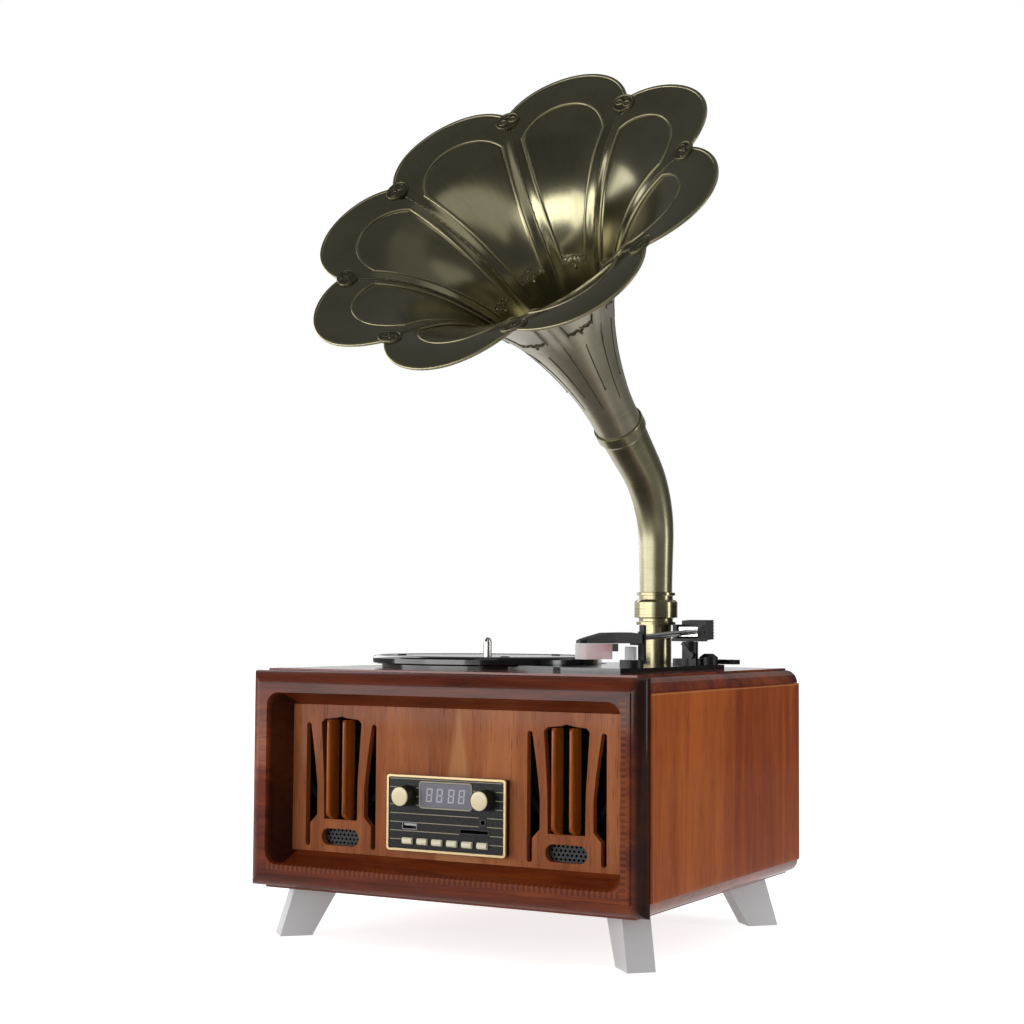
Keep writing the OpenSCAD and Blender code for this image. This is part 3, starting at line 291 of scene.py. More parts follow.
def frame_veneer():
    """Dark veneer with a cross-grain edge band beside and below the opening, and painted shade in two places.

    The band is a row of blocks: a sine along it, made uneven by noise. The painted shade darkens the right
    edge moulding, which turns away from the light, and the left reveal of the opening, a recess that lies in
    shade."""
    mat, tree, shader, wood = veneer("stained_veneer_along_x", 0, "3f1406", "6d2a0f", "94471a", rough=0.45)
    x, y, z = axis_values(tree)
    left, right = place_of(-EDGE_X)[0], place_of(EDGE_X)[0]
    near = place_of(y=FRONT_ROUND)[1]
    low, high = 0.001 * OPENING_LOW, 0.001 * OPENING_HIGH
    on_front = maths(tree, "LESS_THAN", y, near + FRONT_DEPTH)
    wobble = times(tree, noise(tree, object_coords(tree), 180.0, 2.0), 0.6)
    banded = wood
    beside = (z, low, high, x, right - BAND_IN, right + BAND_OUT)
    below = (x, left, right, z, low - BAND_OUT, low + BAND_IN)
    for along, first, last, across, inner, outer in (beside, below):
        blocks = maths(tree, "SINE", times(tree, along, 2 * math.pi / BLOCK_PITCH))
        light = spread(tree, maths(tree, "ADD", blocks, wobble), -0.1, 0.9, 0.0, 1.0)
        band = blend_colours(tree, light, "4a1a08", "8f481b")
        in_width = between(tree, across, inner, outer)
        in_strip = times(tree, in_width, between(tree, along, first, last))
        share = times(tree, times(tree, in_strip, on_front), BAND_SHARE)
        banded = blend_colours(tree, share, banded, band)
    # painted shade: the right edge moulding and the left reveal are mixed towards near black in the base
    # colour
    painted_shade_right = spread(tree, x, right + PAINTED_SHADE_FROM, right + PAINTED_SHADE_FULL, 0.0, 0.9)
    at_left = between(tree, x, left - REVEAL_START, left + REVEAL_END)
    by_opening = times(tree, at_left, between(tree, z, low, high))
    behind_edge = spread(tree, y, near + EDGE_DEPTH, near + FRONT_DEPTH, 0.0, 0.8)
    painted_shade_reveal = times(tree, by_opening, behind_edge)
    dark = maths(tree, "MAXIMUM", painted_shade_right, painted_shade_reveal)
    tree.links.new(blend_colours(tree, dark, banded, "1c0904"), shader.inputs["Base Color"])
    return mat


def side_veneer():
    """Warm brown veneer with fine upright figure and thin painted highlight lines near its front and top
    edges, where light catches the edge steps.
    """
    mat, tree, shader, wood = veneer("stained_veneer_upright", 2, "7c300e", "9c4716", "b85f20",
                                     pores="45190a", figure=20.0, rough=0.5, coat=0.2)
    _, y, z = axis_values(tree)
    front = place_of(y=BEHIND)[1]
    top = 0.001 * PANEL_TOP
    # painted highlight: pale lines just behind the front edge and just below the top edge
    by_front = between(tree, y, front + HIGHLIGHT_BEHIND[0], front + HIGHLIGHT_BEHIND[1])
    by_top = between(tree, z, top - HIGHLIGHT_BELOW[1], top - HIGHLIGHT_BELOW[0])
    share = times(tree, maths(tree, "MAXIMUM", by_front, by_top), 0.6)
    tree.links.new(blend_colours(tree, share, wood, "c98d5c"), shader.inputs["Base Color"])
    return mat


def fascia_veneer():
    """Walnut with upright grain and a pointed flame of lighter figure in the middle."""
    mat, tree, shader, wood = veneer("walnut_veneer_upright", 2, "7c3f1b", "a0592e", "ba7141", pores="3a170a",
                                     figure=20.0, rough=0.5, coat=0.15)
    x, _, z = axis_values(tree)
    middle = place_of(FLAME_X)[0]
    away = maths(tree, "ABSOLUTE", maths(tree, "SUBTRACT", x, middle))
    fall = times(tree, maths(tree, "SUBTRACT", 0.001 * FLAME_TOP, z), FLAME_SLOPE)
    wave = noise(tree, object_coords(tree, (1, 1, 0.2)), 60.0, 3.0)
    edge = maths(tree, "SUBTRACT", maths(tree, "ADD", fall, times(tree, wave, 0.006)), away)
    inside = spread(tree, edge, 0.0, 0.005, 0.0, 0.6)
    tree.links.new(blend_colours(tree, inside, wood, "c58a58"), shader.inputs["Base Color"])
    return mat


WOOD_GLOSS, COAT_ROUGH = 0.12, 0.07
FIGURE_STRETCH, PORE_STRETCH, PORE_FINENESS = 0.09, 0.045, 900.0
# places in box-axes millimetres
EDGE_X = 160.0
OPENING_LOW, OPENING_HIGH = 61.0, 200.0
FRONT_ROUND = 0.6
BEHIND = 12.8
PANEL_TOP = 206.7
FLAME_X, FLAME_TOP, FLAME_SLOPE = 8.0, 196.0, 0.16
# widths on the wood in metres
SOFT_EDGE = 0.0002
# places of the painted highlight lines behind the side's front edge and below its top edge
HIGHLIGHT_BEHIND, HIGHLIGHT_BELOW = (0.0021, 0.0028), (0.0008, 0.0016)
EDGE_DEPTH, FRONT_DEPTH = 0.0005, 0.004
REVEAL_START, REVEAL_END = 0.002, 0.016
BLOCK_PITCH, BAND_IN, BAND_OUT, BAND_SHARE = 0.0046, 0.0012, 0.0042, 0.45
# where the painted shade on the right edge moulding begins and where it is full
PAINTED_SHADE_FROM, PAINTED_SHADE_FULL = 0.005, 0.013
FRAME_WOOD = frame_veneer()
PANEL_WOOD = veneer("stained_moulding_along_x", 0, "541f0d", "80371a", "9c4b24", rough=0.45, coat=0.8)[0]
SIDE_WOOD = side_veneer()
FASCIA_WOOD = fascia_veneer()
FIN_WOOD = veneer("fin_veneer_upright", 2, "80390f", "9e5117", "bb6c26", "4a200c", 30.0, coat=0.5)[0]
give(FRAME_WOOD, "front_frame")
give(PANEL_WOOD, "top_panel", "bottom_panel")
give(SIDE_WOOD, "side_panel_left", "side_panel_right")
give(FASCIA_WOOD, "fascia")
give(FIN_WOOD, "grille_fins_left", "grille_fins_right")
print("nodes with a finish so far:", len(finished))

# %% [markdown]
# ## Metals
# Antique brass is brass darkened by a chemical bath, brushed back and lacquered. The
# colour is a dark olive gold and the brushing spreads reflections along the turning
# direction, which an anisotropic highlight with a tangent does.

# %% Metals
def vary_roughness(tree, shader, value, rough, change):
    """Moves the roughness a little up and down with a noise value."""
    varied = spread(tree, value, 0.3, 0.7, max(0.0, rough - change), rough + change)
    tree.links.new(varied, shader.inputs["Roughness"])


def metal(name, base, rough, scale=300.0, share=1.0):
    """A metal with slight blotches of roughness."""
    mat, tree, shader = new_material(name, base, rough, share)
    vary_roughness(tree, shader, noise(tree, object_coords(tree), scale, 3.0), rough, 0.03)
    return mat


def brushed_brass(name, base, dark, rough, own_map, stretch=0.6, lines_out=False, bare=1.0):
    """Darkened brass with fine brush lines, round or out from the throat; highlights stretch across them."""
    mat, tree, shader = new_material(name, base, rough, bare, LACQUER, LACQUER_ROUGH)
    shader.inputs["Anisotropic"].default_value = stretch
    lay = tree.nodes.new("ShaderNodeTangent")
    quarter_turn = 0.25
    if own_map:
        lay.direction_type = "UV_MAP"
        coords = tree.nodes.new("ShaderNodeUVMap")
        mapping = tree.nodes.new("ShaderNodeMapping")
        mapping.inputs["Scale"].default_value = (BRUSH, 1.0, 1.0) if lines_out else (1.0, BRUSH, 1.0)
        shader.inputs["Anisotropic Rotation"].default_value = quarter_turn if lines_out else 0.0
        tree.links.new(coords.outputs[0], mapping.inputs["Vector"])
        lines = noise(tree, mapping.outputs[0], 1.6, 4.0, 0.6)
        clouds = noise(tree, coords.outputs[0], 0.035, 2.0)
    else:
        lay.direction_type = "RADIAL"
        lay.axis = "Z"
        shader.inputs["Anisotropic Rotation"].default_value = quarter_turn
        lines = noise(tree, object_coords(tree, (BRUSH, BRUSH, 1.0)), 1600.0, 4.0, 0.6)
        clouds = noise(tree, object_coords(tree), 35.0, 2.0)
    tree.links.new(lay.outputs[0], shader.inputs["Tangent"])
    both = maths(tree, "ADD", times(tree, lines, 0.6), times(tree, clouds, 0.4))
    tree.links.new(ramp(tree, both, [(0.36, dark), (0.56, base)]), shader.inputs["Base Color"])
    vary_roughness(tree, shader, lines, rough, 0.02)
    return mat


LACQUER, LACQUER_ROUGH = 0.5, 0.2
BRUSH = 0.03
PETAL_BRASS = brushed_brass("antique_brass_petals", "928d6e", "827d60", 0.19, True, 0.5, True)
BRASS = brushed_brass("antique_brass_brushed", "b0aa92", "9f9980", 0.38, True, 0.3, bare=0.75)
ELBOW_BRASS = brushed_brass("antique_brass_elbow", "a8a384", "98936f", 0.33, True, 0.4, bare=0.9)
TURNED_BRASS = brushed_brass("antique_brass_turned", "a49b78", "7d7659", 0.24, False, 0.4)
BRASS_EDGE = metal("rubbed_brass_edges", "a69e80", 0.3)
BRASS_DARK = metal("blackened_brass", "6f6a54", 0.4)
SILVER_PAINT = metal("silver_painted_cast_metal", "e4e4e6", 0.45, 700.0, 0.25)
CHROME = metal("polished_nickel", "d8d8d6", 0.14)
STEEL = metal("dull_sheet_steel", "8d8d8f", 0.38)
GOLD = metal("pale_gold_aluminium", "dcc394", 0.35, 700.0, 0.6)
give(TURNED_BRASS, "horn_socket", "horn_ferrule")
give(BRASS, "horn_elbow", "horn_neck", "horn_petals", "horn_medallions")
give(SILVER_PAINT, "leg_front_left", "leg_front_right", "leg_rear_left", "leg_rear_right")
give(CHROME, "spindle", "arm_tube")
give(STEEL, "motor", "usb_socket", "motor_pulley")
give(GOLD, "radio_bezel")
print("nodes with a finish so far:", len(finished))


# %% Paints and plastics
def plain(name, base, rough, coat=0.0, alpha=1.0, gloss=0.5):
    """Paint or plastic with a faint roughness grain."""
    mat, tree, shader = new_material(name, base, rough, 0.0, coat)
    shader.inputs["Specular IOR Level"].default_value = gloss
    vary_roughness(tree, shader, noise(tree, object_coords(tree), 900.0, 2.0), rough, 0.04)
    shader.inputs["Alpha"].default_value = alpha
    return mat


def guard_plastic():
    """Milky plastic through which the red stylus holder shows at the inner end."""
    mat, tree, shader = new_material("milky_clear_plastic", "dfc9c5", 0.2, 0.0, 0.3)
    low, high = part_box("stylus_guard")
    share = spread(tree, axis_values(tree)[0], low.x, high.x, 0.0, 1.0)
    tint = ramp(tree, share, [(0.0, "dedad8"), (0.5, "dec3bf"), (0.8, "cf8f92"), (1.0, "a65f68")])
    tree.links.new(tint, shader.inputs["Base Color"])
    shader.inputs["Alpha"].default_value = 0.7
    return mat


GLOSS_BLACK = plain("gloss_black_paint", "0a0a0b", 0.16, 0.5)
SATIN_BLACK = plain("satin_black_plastic", "141315", 0.4)
FACE_BLACK = plain("radio_face_lacquer", "161518", 0.3, 0.15, gloss=0.3)
MATT_BLACK = plain("matt_black_steel", "060606", 0.8, gloss=0.1)
RUBBER = plain("black_rubber", "171717", 0.75)
CREAM = plain("ivory_gold_plastic", "f2eacd", 0.3, 0.3)
CAP = plain("pale_gold_lacquer", "efdfb6", 0.34, 0.3)
WINDOW = plain("grey_display_window", "7a7882", 0.2, 0.4)
MILKY = guard_plastic()
COLUMN = plain("clear_white_plastic", "dcdcdc", 0.25, 0.3, 0.8)
KNOB_BODY = plain("knob_body_lacquer", "2a2518", 0.3, 0.4)
BACK_BOARD = plain("dark_back_board", "2b211b", 0.7)
give(GLOSS_BLACK, "base_plate", "platter")
give(FACE_BLACK, "radio_face")
give(SATIN_BLACK, "aux_jack", "card_slot", "headshell", "cartridge", "arm_rest", "arm_base", "speed_lever",
     "arm_yoke", "arm_weight", "cue_lever", "power_inlet")
give(SATIN_BLACK, "grille_mesh_left", "grille_mesh_right")
give(MATT_BLACK, "speaker_left", "speaker_right", "radio_case")
give(RUBBER, "platter_pads", "drive_belt")
give(CREAM, *["button_%d" % k for k in range(1, 7)])
give(CAP, "knob_cap_volume", "knob_cap_tuning")
give(WINDOW, "display_window")
give(MILKY, "stylus_guard")
give(COLUMN, "rest_column")
give(KNOB_BODY, "knob_volume", "knob_tuning")
give(BACK_BOARD, "rear_panel")
print("nodes without a finish:", sorted(set(nodes) - finished))

# %% [markdown]
# ## Building surfaces
# A piece is a list of parts, each part being points and faces. A grid of points gives
# quads; a tube is a circle carried along a path with its ends closed; a shell joins a
# front and a back grid along their borders. `make` turns parts into one mesh.

# %% Helpers for surfaces
def grid_faces(rows, cols, start=0, close=False, flip=False):
    """Quads of a grid of rows by cols points; close joins the last column to the first."""
    i, j = np.meshgrid(np.arange(rows - 1), np.arange(cols if close else cols - 1), indexing="ij")
    a = i * cols + j
    b = i * cols + (j + 1) % cols
    quads = np.stack([a, b, b + cols, a + cols], -1).reshape(-1, 4) + start
    return quads[:, ::-1] if flip else quads


def shell(front, back):
    """Front and back grids (rows, cols, 3) joined along all four borders into one closed sheet."""
    rows, cols = front.shape[:2]
    count = rows * cols
    points = np.concatenate([front.reshape(-1, 3), back.reshape(-1, 3)])
    low = np.arange(cols)
    high = (rows - 1) * cols + low
    left = np.arange(rows) * cols
    right = left + cols - 1
    border = np.concatenate([low, right[1:], high[::-1][1:], left[::-1][1:-1]])
    turn = np.roll(border, -1)
    rim = np.stack([border, border + count, turn + count, turn], -1)
    return points, [*grid_faces(rows, cols), *grid_faces(rows, cols, count, flip=True), *rim]


def tube(path, normals, radius, sides=8, flat=1.0):
    """A circle of the given radius, flattened along the normal, carried along a path; its ends are closed."""
    path = np.asarray(path, float)
    normals = np.asarray(normals, float)
    radius = np.broadcast_to(np.asarray(radius, float), (len(path),))
    ahead = np.gradient(path, axis=0)
    across = np.cross(ahead, normals)
    across /= np.linalg.norm(across, axis=1, keepdims=True) + 1e-12
    up = np.cross(across, ahead)
    up /= np.linalg.norm(up, axis=1, keepdims=True) + 1e-12
    angle = np.arange(sides) * 2 * np.pi / sides
    ring = (path[:, None] + radius[:, None, None] * (np.cos(angle)[None, :, None] * across[:, None]
            + flat * np.sin(angle)[None, :, None] * up[:, None]))
    points = ring.reshape(-1, 3)
    rows = len(path)
    faces = [list(q) for q in grid_faces(rows, sides, close=True)]
    points = np.concatenate([points, path[:1], path[-1:]])
    foot, head = rows * sides, rows * sides + 1
    faces += [[foot, (k + 1) % sides, k] for k in range(sides)]
    faces += [[head, (rows - 1) * sides + k, (rows - 1) * sides + (k + 1) % sides] for k in range(sides)]
    return points, faces


def ring_shell(outer, inner, along):
    """Outer and inner skins (rows along, columns round) joined at both ends; mapped by length and turn."""
    rows, cols = outer.shape[:2]
    count = rows * cols
    points = np.concatenate([outer.reshape(-1, 3), inner.reshape(-1, 3)])
    faces = [*grid_faces(rows, cols, close=True), *grid_faces(rows, cols, count, close=True, flip=True)]
    here = np.arange(cols)
    ahead = (here + 1) % cols
    last = (rows - 1) * cols
    faces += list(np.stack([here + count, ahead + count, ahead, here], -1))
    faces += list(np.stack([here + last, ahead + last, ahead + last + count, here + last + count], -1))
    turn = np.broadcast_to(here[None, :] * 100.0 / cols, (rows, cols))
    own_map = np.stack([np.broadcast_to(np.asarray(along)[:, None], (rows, cols)), turn], -1).reshape(-1, 2)
    return points, faces, np.concatenate([own_map, own_map])


def outward(points, faces):
    """Turns all faces of a closed part that face inward, told by the sign of its volume."""
    volume = 0.0
    for size in {len(face) for face in faces}:
        group = np.array([face for face in faces if len(face) == size])
        for k in range(1, size - 1):
            crossed = np.cross(points[group[:, k]], points[group[:, k + 1]])
            volume += float((points[group[:, 0]] * crossed).sum())
    return [face[::-1] for face in faces] if volume < 0 else faces


def merge(parts):
    """Several parts as one, each turned outward; a part is points, faces and maybe its map."""
    points, faces, maps, start = [], [], [], 0
    for part in parts:
        part_points = np.asarray(part[0], float)
        middle = part_points.mean(0)
        part_faces = outward(part_points - middle, part[1])
        points.append(part_points)
        faces += [[int(k) + start for k in face] for face in part_faces]
        maps.append(part[2] if len(part) > 2 else part_points[:, :2])
        start += len(part_points)
    return np.concatenate(points), faces, np.concatenate(maps)


def make(name, parts, material, body, sharp_deg=35.0, to_model=to_row):
    """One mesh object from parts, given its map and finish and carried by a body."""
    points, faces, own_map = merge(parts)
    mesh = bpy.data.meshes.new(name)
    mesh.from_pydata(to_model(points).tolist(), [], faces)
    mesh.polygons.foreach_set("use_smooth", [True] * len(faces))
    layer = mesh.uv_layers.new(name="own_map")
    corners = np.empty(len(mesh.loops), dtype=np.int32)
    mesh.loops.foreach_get("vertex_index", corners)
    layer.data.foreach_set("uv", own_map[corners].astype(np.float32).ravel())
    mesh.set_sharp_from_angle(angle=math.radians(sharp_deg))
    mesh.materials.append(material)
    mesh.update()
    piece = add_object(name, mesh)
    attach(piece, body)
    print(name, len(points), "points", len(faces), "faces")
    return piece


# %% [markdown]
# ## The horn
# Eight petals of embossed sheet form the bell. The flare follows
# w = L (1 - (1 - s)^(1/q))^(1/p) with s the share of the growth in radius. Each petal
# has a flat border strip along its seams and its round edge, and a slightly sunk
# panel inside a half-round bead; the strips drop into a shallow valley at each seam.

# %% Flare
THROAT_R, TIP_R, SEAM_R, BELL_LEN = 18.8, 177.8, 149.0, 235.0
FLARE_P, FLARE_Q, FLARE_R = 1.8, 0.44, 180.8
HORN_X, HORN_Y = 64.6, 272.0
HORN_TURN, BEND_A = math.radians(2.5), math.radians(50.8)
BEND_R, BEND_RISE, BEND_RUN, BEND_Z = 86.0, 43.5, 54.0, 286.0
END_H = BEND_R * (1 - math.cos(BEND_A)) + BEND_RUN * math.sin(BEND_A)
END_Z = BEND_Z + BEND_RISE + BEND_R * math.sin(BEND_A) + BEND_RUN * math.cos(BEND_A)
PETALS = 8
PETAL_TURN = 2 * math.pi / PETALS
HALF_PETAL = PETAL_TURN / 2
OUTLINE_C = (TIP_R ** 2 - SEAM_R ** 2) / (2 * (TIP_R - SEAM_R * math.cos(HALF_PETAL)))
OUTLINE_R = TIP_R - OUTLINE_C
NECK_END_R = 36.7


def flare_w(radius):
    """Height on the horn's axis of the inner skin at a radius."""
    share = np.clip((np.asarray(radius, float) - THROAT_R) / (FLARE_R - THROAT_R), 1e-6, 0.9999)
    return BELL_LEN * (1 - (1 - share) ** (1 / FLARE_Q)) ** (1 / FLARE_P)


def flare_inward(radius):
    """Unit normal (outward, along the axis) of the skin, pointing into the bell."""
    rise = (flare_w(radius + 0.3) - flare_w(radius - 0.3)) / 0.6
    size = np.sqrt(1 + rise ** 2)
    return -rise / size, 1 / size


def skin(radius, angle, lift):
    """Point in the horn's axes on the inner skin, raised into the bell by lift millimetres."""
    radius, angle, lift = np.broadcast_arrays(np.asarray(radius, float), angle, lift)
    out, up = flare_inward(radius)
    far = radius + lift * out
    return np.stack([far * np.cos(angle), far * np.sin(angle), flare_w(radius) + lift * up], -1)


def skin_normal(radius, angle):
    """Direction into the bell at a point of the skin, in the horn's axes."""
    radius, angle = np.broadcast_arrays(np.asarray(radius, float), angle)
    out, up = flare_inward(radius)
    return np.stack([out * np.cos(angle), out * np.sin(angle), up], -1)


def horn_to_row(points):
    """Horn-axes millimetres to model metres: tilt, move to the elbow's end, turn, place."""
    x, y, z = np.moveaxis(np.asarray(points, float), -1, 0)
    back = y * math.cos(BEND_A) - z * math.sin(BEND_A) - END_H
    high = y * math.sin(BEND_A) + z * math.cos(BEND_A) + END_Z
    return to_row(np.stack([HORN_X + x * math.cos(HORN_TURN) + back * math.sin(HORN_TURN),
                            HORN_Y - x * math.sin(HORN_TURN) + back * math.cos(HORN_TURN), high], -1))


def outline(angle, inside):
    """Radius of a petal's round edge at an angle from its middle, moved in by some millimetres."""
    return OUTLINE_C * np.cos(angle) + np.sqrt(OUTLINE_R ** 2 - (OUTLINE_C * np.sin(angle)) ** 2) - inside


print("flare height at the seam radius", round(float(flare_w(SEAM_R)), 1))

# %% [markdown]
# The panel of a petal is bounded by two side beads a constant distance from the seams,
# an arch near the edge and a scroll near the neck. The arch is part of a circle through
# the two upper corners and a top point a set distance inside the petal's edge.

# %% Petals
STRIP = 9.0
CORNER_R = 123.0
ARCH_DROP = 33.0
SCROLL_R = 51.0
VALLEY = 1.3
SUNK = 0.9
SHEET = 1.0
PANEL_SLOPE = 1.8
VALLEY_START = 16.0
HALF_SEAM_GAP = 0.0012
RIM_R = 1.5
BEAD_R = 1.2
PETAL_ROWS, PETAL_COLS = 92, 65
CORNER_A = HALF_PETAL - STRIP / CORNER_R
CORNER = (CORNER_R * math.sin(CORNER_A), CORNER_R * math.cos(CORNER_A))
ARCH_TOP = TIP_R - ARCH_DROP
ARCH_R = (CORNER[0] ** 2 + (ARCH_TOP - CORNER[1]) ** 2) / (2 * (ARCH_TOP - CORNER[1]))
ARCH_C = ARCH_TOP - ARCH_R


def step(value):
    """Smooth step from 0 to 1."""
    t = np.clip(value, 0, 1)
    return t * t * (3 - 2 * t)


def relief(radius, angle):
    """Height of the embossing: a valley at the seams and a sunk panel inside the beads."""
    from_seam = radius * (HALF_PETAL - np.abs(angle))
    valley = -VALLEY * (1 - step(from_seam / (STRIP - 1.5))) * step((radius - NECK_END_R) / VALLEY_START)
    x = radius * np.sin(angle)
    y = radius * np.cos(angle)
    from_arch = ARCH_R - np.hypot(x, y - ARCH_C)
    from_arch = np.where(y < CORNER[1], np.inf, from_arch)
    inside = np.minimum(np.minimum(from_seam - STRIP, from_arch), radius - SCROLL_R)
    return valley - SUNK * step(inside / PANEL_SLOPE)


def petal_shell(k):
    """One petal as a closed embossed sheet from the neck to its round edge."""
    angle = np.linspace(-HALF_PETAL + HALF_SEAM_GAP, HALF_PETAL - HALF_SEAM_GAP, PETAL_COLS)[None, :]
    share = np.linspace(0, 1, PETAL_ROWS)[:, None] ** 1.15
    far = outline(angle, RIM_R)
    radius = NECK_END_R + (far - NECK_END_R) * share
    angle = np.broadcast_to(angle, radius.shape)
    lift = relief(radius, angle)
    turn = k * PETAL_TURN
    points, faces = shell(skin(radius, angle + turn, lift), skin(radius, angle + turn, lift - SHEET))
    own_map = np.stack([radius, 100.0 * (angle + turn)], -1).reshape(-1, 2)
    return points, faces, np.concatenate([own_map, own_map])


def rim_tube(k):
    """The rolled edge of one petal."""
    angle = np.linspace(-HALF_PETAL, HALF_PETAL, 61)
    radius = outline(angle, RIM_R + 0.1)
    turn = k * PETAL_TURN
    return tube(skin(radius, angle + turn, -SHEET / 2), skin_normal(radius, angle + turn), RIM_R, 12)


def on_skin(x, radius, k, lift, size, sides=8):
    """A bead along a path given across (millimetres) and by radius on petal k."""
    radius = np.asarray(radius, float)
    angle = np.asarray(x, float) / radius + k * PETAL_TURN
    return tube(skin(radius, angle, lift), skin_normal(radius, angle), size, sides)


def side_bead_path(side):
    """From the scroll up to the corner, a constant distance from the seam."""
    radius = np.linspace(SCROLL_R - 1.0, CORNER_R, 48)
    return side * (radius * HALF_PETAL - STRIP), radius


def arch_path():
    """From corner to corner over the top of the panel."""
    half = math.atan2(CORNER[0], CORNER[1] - ARCH_C)
    turn = np.linspace(-half, half, 49)
    x = ARCH_R * np.sin(turn)
    y = ARCH_C + ARCH_R * np.cos(turn)
    radius = np.hypot(x, y)
    return np.arctan2(x, y) * radius, radius


def scroll_paths():
    """The scrolls that close a panel at its narrow end: on each side a wave and two curls, a bow and a drop.

    The paths are drawn in millimetres on the skin, which is longer than its growth in radius."""
    paths = []
    half = SCROLL_R * HALF_PETAL - STRIP
    skin_length = 1 / float(flare_inward(SCROLL_R)[1])

    def add(x, along, size):
        paths.append((x, SCROLL_R + along / skin_length, size))

    for side in (-1, 1):
        t = np.linspace(0, 1, 30)
        add(side * half * (1 - 0.74 * t), 1.6 * np.cos(1.7 * math.pi * t), 0.75)
        turn = np.linspace(0, 1.8 * math.pi, 20)
        size = 2.5 - 0.8 * turn / math.pi
        add(side * (half * 0.3 + size * np.cos(turn)), 1.9 + size * np.sin(turn), 0.7)
        turn = np.linspace(0.2, 1.4 * math.pi, 12)
        add(side * (half * 0.76 + 1.6 * np.cos(turn)), 2.2 + 1.7 * np.sin(turn), 0.6)
    turn = np.linspace(math.pi, 2 * math.pi, 16)
    add(2.6 * np.cos(turn), 0.2 + 2.6 * np.sin(turn), 0.7)
    dot = np.linspace(-1, 1, 9)
    add(0 * dot, 4.4 + 1.1 * dot, np.sqrt(np.clip(1 - dot ** 2, 0.02, 1)))
    drop = np.linspace(0, 1, 10)
    add(0 * drop, -3.2 - 4.2 * drop, 1.2 * np.sin(np.pi * (0.1 + 0.85 * drop)) + 0.15)
    return paths


def seam_line(k):
    """Rough line of solder in the valley between two petals."""
    radius = np.linspace(NECK_END_R + 1, SEAM_R - 12, 110)
    wave = 0.5 + 0.5 * np.sin(radius * 2.1) * np.sin(radius * 0.83 + k)
    angle = (k + 0.5) * PETAL_TURN + 0.25 * np.sin(radius * 1.3 + k) / radius
    return tube(skin(radius, angle, -VALLEY), skin_normal(radius, angle), 0.55 + 0.35 * wave, 6, 0.8)


def medallion(k, cols=72):
    """Oval with a thin raised edge and two curled lobes over a seam, from rings of a height formula."""
    rings = np.concatenate([[0.0], np.linspace(0.03, 1.0, 34)])
    turn = np.arange(cols) * 2 * np.pi / cols
    share, around = np.meshgrid(rings, turn, indexing="ij")
    across = share * np.cos(around)
    along = share * np.sin(around)
    height = 0.5 + 1.1 * np.exp(-((share - 0.9) / 0.07) ** 2)
    for side in (-1, 1):
        from_lobe = np.hypot(across - side * 0.4, along / 0.9)
        height += 0.9 * np.exp(-((from_lobe - 0.3) / 0.07) ** 2) + 0.7 * np.exp(-(from_lobe / 0.09) ** 2)
    height = np.where(share > 0.999, -0.6, height)
    centre_r, half_across, half_up = SEAM_R - 5.2, 11.0, 8.2
    radius = centre_r + half_up * along
    angle = half_across * across / centre_r + (k + 0.5) * PETAL_TURN
    top = skin(radius, angle, height + 0.2)
    foot = skin(radius[-1:], angle[-1:], -0.6)
    points = np.concatenate([top.reshape(-1, 3), foot.reshape(-1, 3)])
    faces = [list(q) for q in grid_faces(len(rings) + 1, cols, close=True)]
    last = len(rings) * cols
    faces.append([last + j for j in range(cols)][::-1])
    return points, faces


petals = make("bell_petals", [petal_shell(k) for k in range(PETALS)], PETAL_BRASS, "horn", 40, horn_to_row)
inner_faces = (PETAL_ROWS - 1) * (PETAL_COLS - 1)
outer_faces = inner_faces + 2 * (PETAL_ROWS + PETAL_COLS) - 4
petals.data.materials.append(BRASS)
slots = ([0] * inner_faces + [1] * outer_faces) * PETALS
petals.data.polygons.foreach_set("material_index", slots)
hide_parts("horn_petals")
make("bell_rolled_edge", [rim_tube(k) for k in range(PETALS)], BRASS_EDGE, "horn", 60, horn_to_row)
beads = []
for k in range(PETALS):
    for path in (side_bead_path(-1), side_bead_path(1), arch_path()):
        beads.append(on_skin(*path, k, -0.2, BEAD_R))
    for x, radius, size in scroll_paths():
        beads.append(on_skin(x, radius, k, 0.1, size, 6))
make("bell_panel_beads", beads, BRASS_EDGE, "horn", 60, horn_to_row)
make("bell_seam_solder", [seam_line(k) for k in range(PETALS)], BRASS_DARK, "horn", 60, horn_to_row)
flowers = make("bell_medallions", [medallion(k) for k in range(PETALS)], BRASS_DARK, "horn", 50, horn_to_row)
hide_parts("horn_medallions")

# %% [markdown]
# The same embossing shows on the outside as thin lines: the panel outlines on the
# petals, and on the neck one line per seam that ends in a small ball.

# %% Outside of the bell
OUTSIDE = -SHEET - 0.6
LINE_SKIN = -SHEET - 0.1


def neck_line(k, low, high, ball, rows=70):
    """Thin raised line down the outside of the neck, k in petals from the first, maybe with an end ball."""
    radius = low + (high - low) * np.linspace(0, 1, rows) ** 1.6
    angle = np.full(rows, k * PETAL_TURN)
    size = np.full(rows, 0.5)
    if ball:
        size[:6] = (0.3, 0.9, 1.3, 1.3, 0.9, 0.5)
    return tube(skin(radius, angle, LINE_SKIN), skin_normal(radius, angle), size, 8)


outside = []
for k in range(PETALS):
    for path in (side_bead_path(-1), side_bead_path(1), arch_path()):
        outside.append(on_skin(*path, k, OUTSIDE - 0.2, 0.6, 6))
    for x, radius, size in scroll_paths():
        outside.append(on_skin(x, radius, k, OUTSIDE, size, 6))
    outside.append(neck_line(k + 0.5, 21.5, SEAM_R - 30, False))
    outside.append(neck_line(k, 24.5, SCROLL_R - 9.5, True))
make("bell_outside_lines", outside, BRASS_DARK, "horn", 60, horn_to_row)

